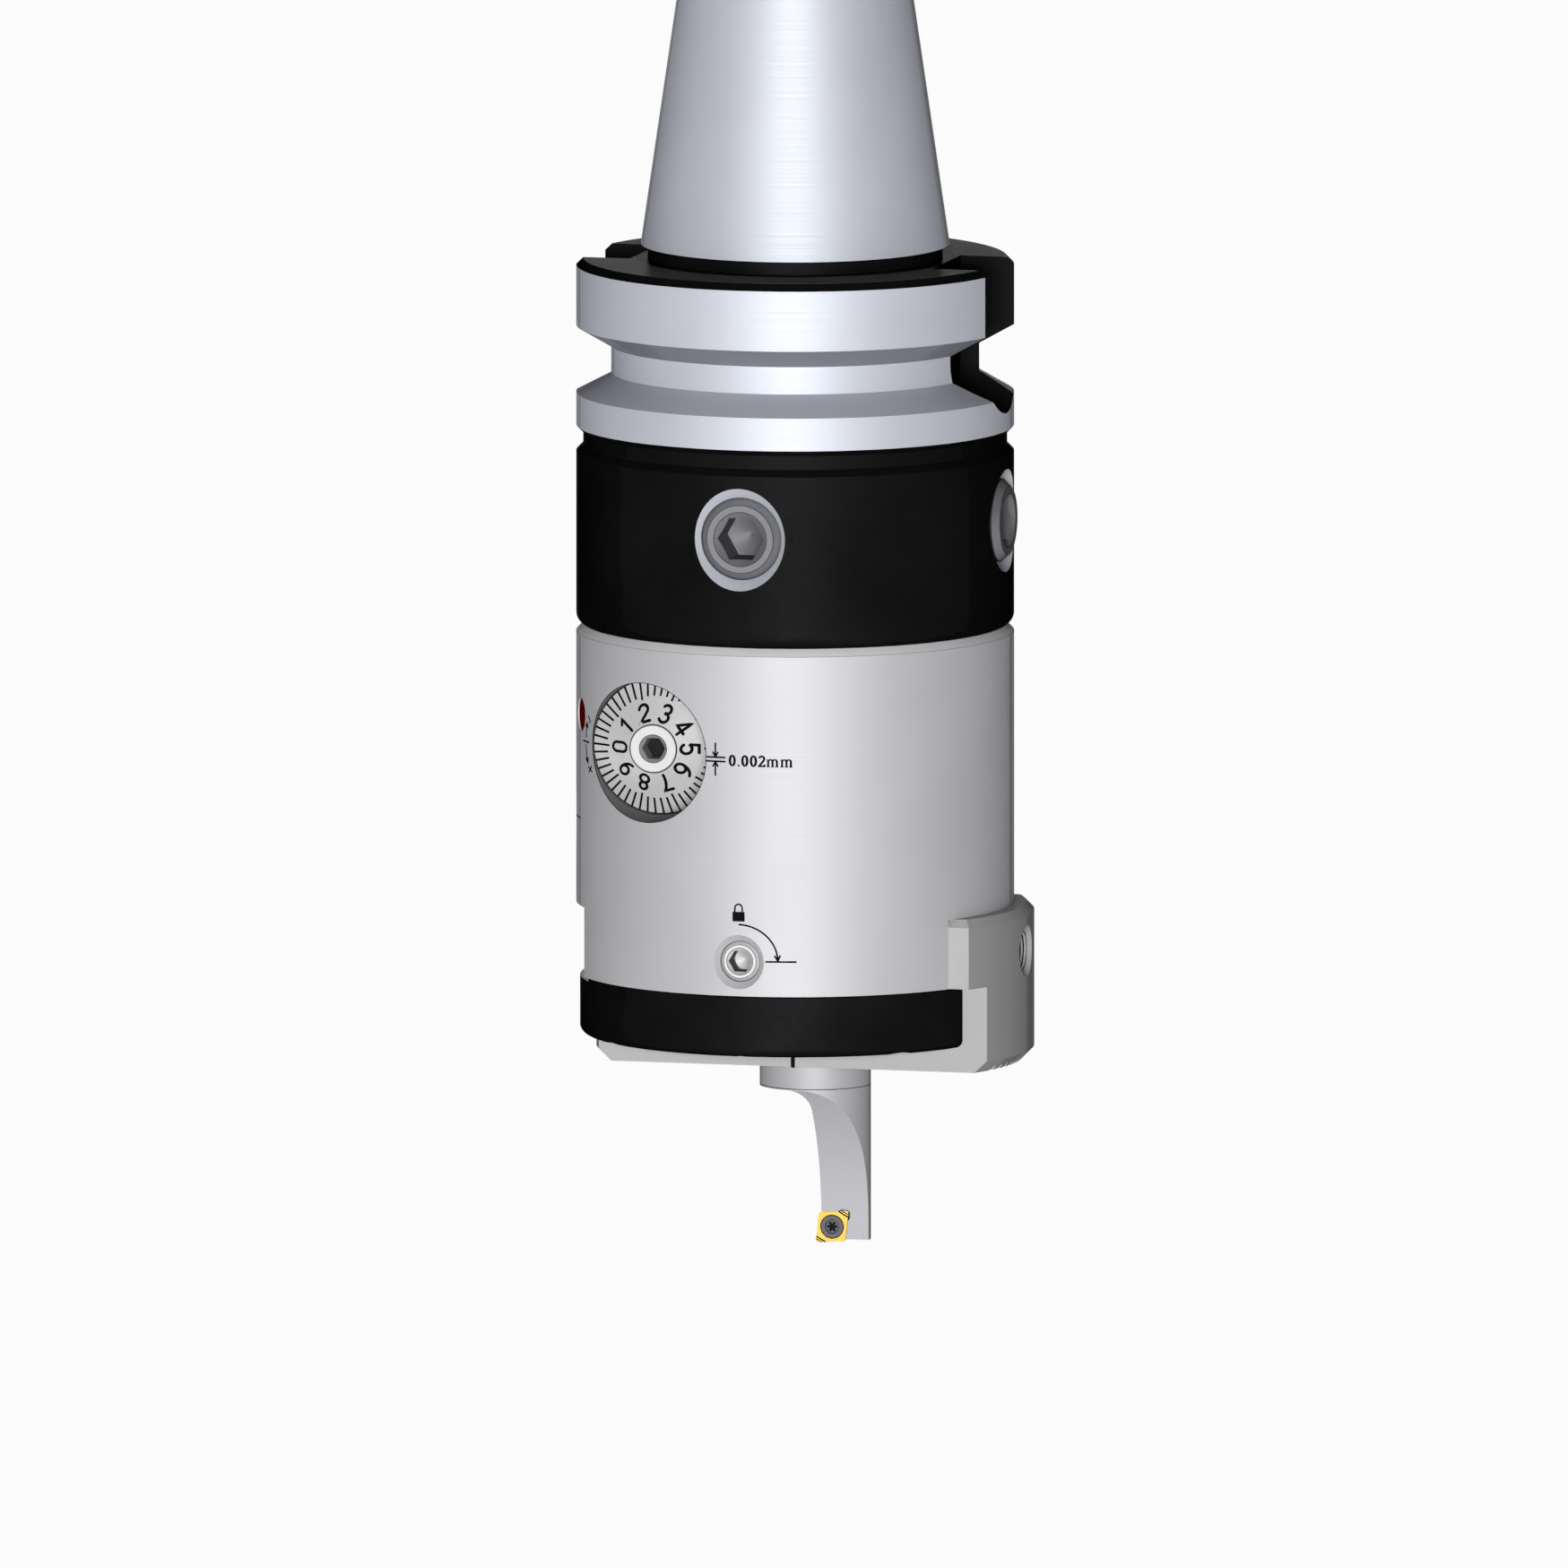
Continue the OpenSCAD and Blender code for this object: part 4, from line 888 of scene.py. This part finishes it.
def step_marks(marks, middle_z):
    """Right of the dial: one division between two arrows"""
    line_start, line_end, line_gap, line_w = -4.98, -1.95, 0.3, 0.25
    arrow_x, arrow_start, arrow_tip = -3.5, 2.4, 0.38
    for way in (1, -1):
        z = middle_z + way * line_gap
        marks.stroke([(line_start, z), (line_end, z)], line_w, step=0.5)
    for way in (1, -1):
        start, tip = middle_z + way * arrow_start, middle_z + way * arrow_tip
        marks.stroke([(arrow_x, start), (arrow_x, tip)], line_w)
        arrow_head(marks, (arrow_x, tip), (0, tip - start), 0.7, 0.42, line_w)


def letter_m(marks, x, base):
    """Three stems with feet, two bows between them, and a serif at the top left"""
    stem_gap, bow_half, stem_w, serif_w = 0.62, 0.31, 0.3, 0.15
    for stem_x in (x - stem_gap, x, x + stem_gap):
        marks.stroke([(stem_x, base + 0.06), (stem_x, base + 0.85)], stem_w)
        marks.stroke([(stem_x - 0.24, base + 0.05), (stem_x + 0.24, base + 0.05)], serif_w)
    for bow_x in (x - bow_half, x + bow_half):
        marks.stroke(arc(bow_x, base + 0.8, bow_half, 0.26, 180, 0, 8), stem_w, step=0.3, thin=0.18)
    marks.stroke([(x - 0.86, base + 1.02), (x - 0.56, base + 1.02)], serif_w)


def step_value(marks):
    """0.002 mm in plain book letters, which is what a division moves"""
    base, high, half, pen_w = DIAL_Z - 1.0, 1.62, 0.36, 0.36
    for x in (-0.94, 0.93, 2.20):
        marks.stroke(arc(x, base + high / 2, half, high / 2 - 0.08, 0, 345), pen_w, True, step=0.3, thin=0.2)
    point_x, point_r = 0.02, 0.16
    marks.patch(arc(point_x, base + 0.12, point_r, point_r, 0, 300, 5))
    curl = arc(3.40, base + high - 0.47, half, 0.38, 165, -35)
    foot = [(3.02, base + 0.1), (3.78, base + 0.1), (3.86, base + 0.35)]
    marks.stroke(curl + foot, 0.32, step=0.3, thin=0.24)
    for x in (4.96, 6.93):
        letter_m(marks, x, base)


def lock_marks(marks):
    """Turning arrow round the lock screw, its end line, and a small padlock"""
    line_z, line_w = LOCK_Z + 0.15, 0.25
    arrow_x, arrow_high = 5.72, 5.3
    marks.stroke(arc(0, line_z, arrow_x, arrow_high, 90, 2, 22), line_w)
    arrow_head(marks, (arrow_x, line_z + 0.1), (0.08, -1), 0.85, 0.42, line_w)
    marks.stroke([(3.9, line_z), (8.35, line_z)], line_w)
    box_low, box_top, box_half = LOCK_Z + 5.9, LOCK_Z + 7.3, 0.9
    shackle_z, shackle_r = box_top + 0.55, 0.55
    bow = arc(0, shackle_z, shackle_r, shackle_r, 180, 0, 8)
    marks.stroke([(-shackle_r, box_top)] + bow + [(shackle_r, box_top)], 0.24, step=0.3)
    marks.patch([(-box_half, box_low), (box_half, box_low), (box_half, box_top), (-box_half, box_top)])


def side_line(marks):
    """Short reference line on the left side"""
    z = LEAD_Z + 0.4
    marks.stroke([(-28.2, z), (-29.9, z)], 0.22)


def head_marks(mat):
    """All marks on the barrel"""
    marks = Marks("head_marks", on_barrel)
    middle_z = DIAL_Z - 0.1
    turn_marks(marks, middle_z)
    step_marks(marks, middle_z)
    step_value(marks)
    lock_marks(marks)
    side_line(marks)
    marks.done("head", mat)


def slide_index(mat):
    """Line down the middle of the slide's foot"""
    line_top, line_low, line_w = SLIDE_FOOT_Z + 2.94, SLIDE_FOOT_Z - 0.11, 0.62
    marks = Marks("slide_index", on_slide)
    marks.stroke([(SLIDE_X, line_top), (SLIDE_X, line_low)], line_w, step=2)
    marks.done("slide", mat)


def chip_lines(mat):
    """Two lines across each sharp corner of the insert, where its chip former ends"""
    along, up = [Vector((math.cos(a), math.sin(a))) for a in (INSERT_LEAD, INSERT_LEAD + INSERT_ANGLE)]
    marks = Marks("chip_lines", on_insert, 0.008, 0.03)
    for corner, way in ((INSERT_TIP, 1), (2 * INSERT_MID - INSERT_TIP, -1)):
        for low, high, width in ((1.5, 0.88, 0.2), (1.0, 0.5, 0.13)):
            marks.stroke([corner + along * low * way, corner + up * high * way], width)
    marks.done("slide", mat)


def bar_clamp_thread(mat):
    """Thread in the hole at the slide's end, outside the clamp screw"""
    inner_x, outer_x = high_mm("bar_clamp_screw").x + 0.2, high_mm("slide").x - 0.8
    pitch, sides = 0.5, 40
    crest_r, root_r, back_r = SLIDE_CLAMP_R - THREAD_DEPTH, SLIDE_CLAMP_R - 0.02, SLIDE_CLAMP_R + 0.03
    turns = round((outer_x - inner_x) / pitch)
    profile = [(inner_x, back_r)]
    for i in range(turns):
        x = inner_x + i * pitch
        profile += [(x, root_r), (x + pitch * 0.4, crest_r), (x + pitch * 0.6, crest_r)]
    profile += [(inner_x + turns * pitch, root_r), (inner_x + turns * pitch, back_r)]
    bm = bmesh.new()
    rings = []
    for k in range(sides):
        a = 2 * math.pi * k / sides
        rings.append([bm.verts.new(Vector((x, r * math.cos(a), SLIDE_CLAMP_Z + r * math.sin(a))) * MM)
                      for x, r in profile])
    for here, there in zip(rings, rings[1:] + rings[:1]):
        for i in range(len(profile)):
            j = (i + 1) % len(profile)
            bm.faces.new((here[i], here[j], there[j], there[i]))
    finish_piece(bm, "bar_clamp_thread", "slide", mat)


def floor_material():
    """Pale floor that the camera, reflections and glass see as white, with a trace of shadow"""
    mat = bpy.data.materials.new("floor")
    mat.use_nodes = True
    tree = mat.node_tree
    tree.nodes.remove(tree.nodes["Principled BSDF"])
    plain = tree.nodes.new("ShaderNodeBsdfDiffuse")
    plain.inputs["Color"].default_value = (0.9, 0.9, 0.9, 1)
    white = tree.nodes.new("ShaderNodeEmission")
    white.inputs["Color"].default_value = (1, 1, 1, 1)
    path = tree.nodes.new("ShaderNodeLightPath")
    seen = path.outputs["Is Camera Ray"]
    for name in ("Is Glossy Ray", "Is Transmission Ray"):
        either = tree.nodes.new("ShaderNodeMath")
        either.operation = "MAXIMUM"
        tree.links.new(seen, either.inputs[0])
        tree.links.new(path.outputs[name], either.inputs[1])
        seen = either.outputs[0]
    share = tree.nodes.new("ShaderNodeMath")
    share.operation = "MULTIPLY"
    share.inputs[1].default_value = FLOOR_WHITE_SHARE
    tree.links.new(seen, share.inputs[0])
    both = tree.nodes.new("ShaderNodeMixShader")
    tree.links.new(share.outputs[0], both.inputs[0])
    tree.links.new(plain.outputs[0], both.inputs[1])
    tree.links.new(white.outputs[0], both.inputs[2])
    tree.links.new(both.outputs[0], tree.nodes["Material Output"].inputs["Surface"])
    return mat


def stage_floor():
    """A floor well below the part, which hangs over it"""
    bm = bmesh.new()
    bmesh.ops.create_grid(bm, x_segments=6, y_segments=6, size=FLOOR_HALF)
    mesh = bpy.data.meshes.new("floor")
    bm.to_mesh(mesh)
    bm.free()
    mesh.materials.append(floor_material())
    floor = bpy.data.objects.new("floor", mesh)
    floor.location = (0, 0, CAD_BOX[0][2] - FLOOR_DROP)
    SCENE.collection.objects.link(floor)


def soft_lamp(name, azimuth, elevation, distance, size, level, spread):
    """A soft lamp; level 1 lights a white surface that faces it to about white. Angles in degrees."""
    lamp = bpy.data.lights.new(name, "AREA")
    lamp.shape = "RECTANGLE"
    lamp.size, lamp.size_y = size
    half = math.radians(spread) / 2
    lamp.spread = 2 * half
    # A narrow spread gathers the same power into a brighter beam
    lamp.energy = level * (math.pi * distance) ** 2 * (1 - half / math.tan(half))
    towards = direction(math.radians(azimuth), math.radians(elevation))
    stand = bpy.data.objects.new(name, lamp)
    stand.location = LAMP_AIM + towards * distance
    stand.rotation_euler = (-towards).to_track_quat("-Z", "Y").to_euler()
    stand.visible_camera = False
    SCENE.collection.objects.link(stand)


def add_lamps():
    """A soft key beside the camera, its opposite behind the part, and two faint fills"""
    soft_lamp("key", azimuth=12, elevation=3, distance=3.0, size=(0.9, 0.6), level=1.23, spread=60)
    soft_lamp("back", azimuth=195, elevation=0, distance=3.0, size=(0.3, 0.3), level=1.2, spread=20)
    soft_lamp("left_fill", azimuth=-75, elevation=12, distance=3.0, size=(0.9, 0.6), level=0.03, spread=60)
    soft_lamp("top_fill", azimuth=15, elevation=84, distance=1.5, size=(0.8, 0.8), level=0.1, spread=170)
    world = bpy.data.worlds.new("world")
    world.use_nodes = True
    background = world.node_tree.nodes["Background"]
    background.inputs["Color"].default_value = (0.5, 0.5, 0.5, 1)
    background.inputs["Strength"].default_value = 0.08
    SCENE.world = world


add_camera()
set_finishes()
filling = mark_material()
dial_scale(filling)
head_marks(filling)
slide_index(filling)
chip_lines(filling)
bar_clamp_thread(thread_material())
stage_floor()
add_lamps()
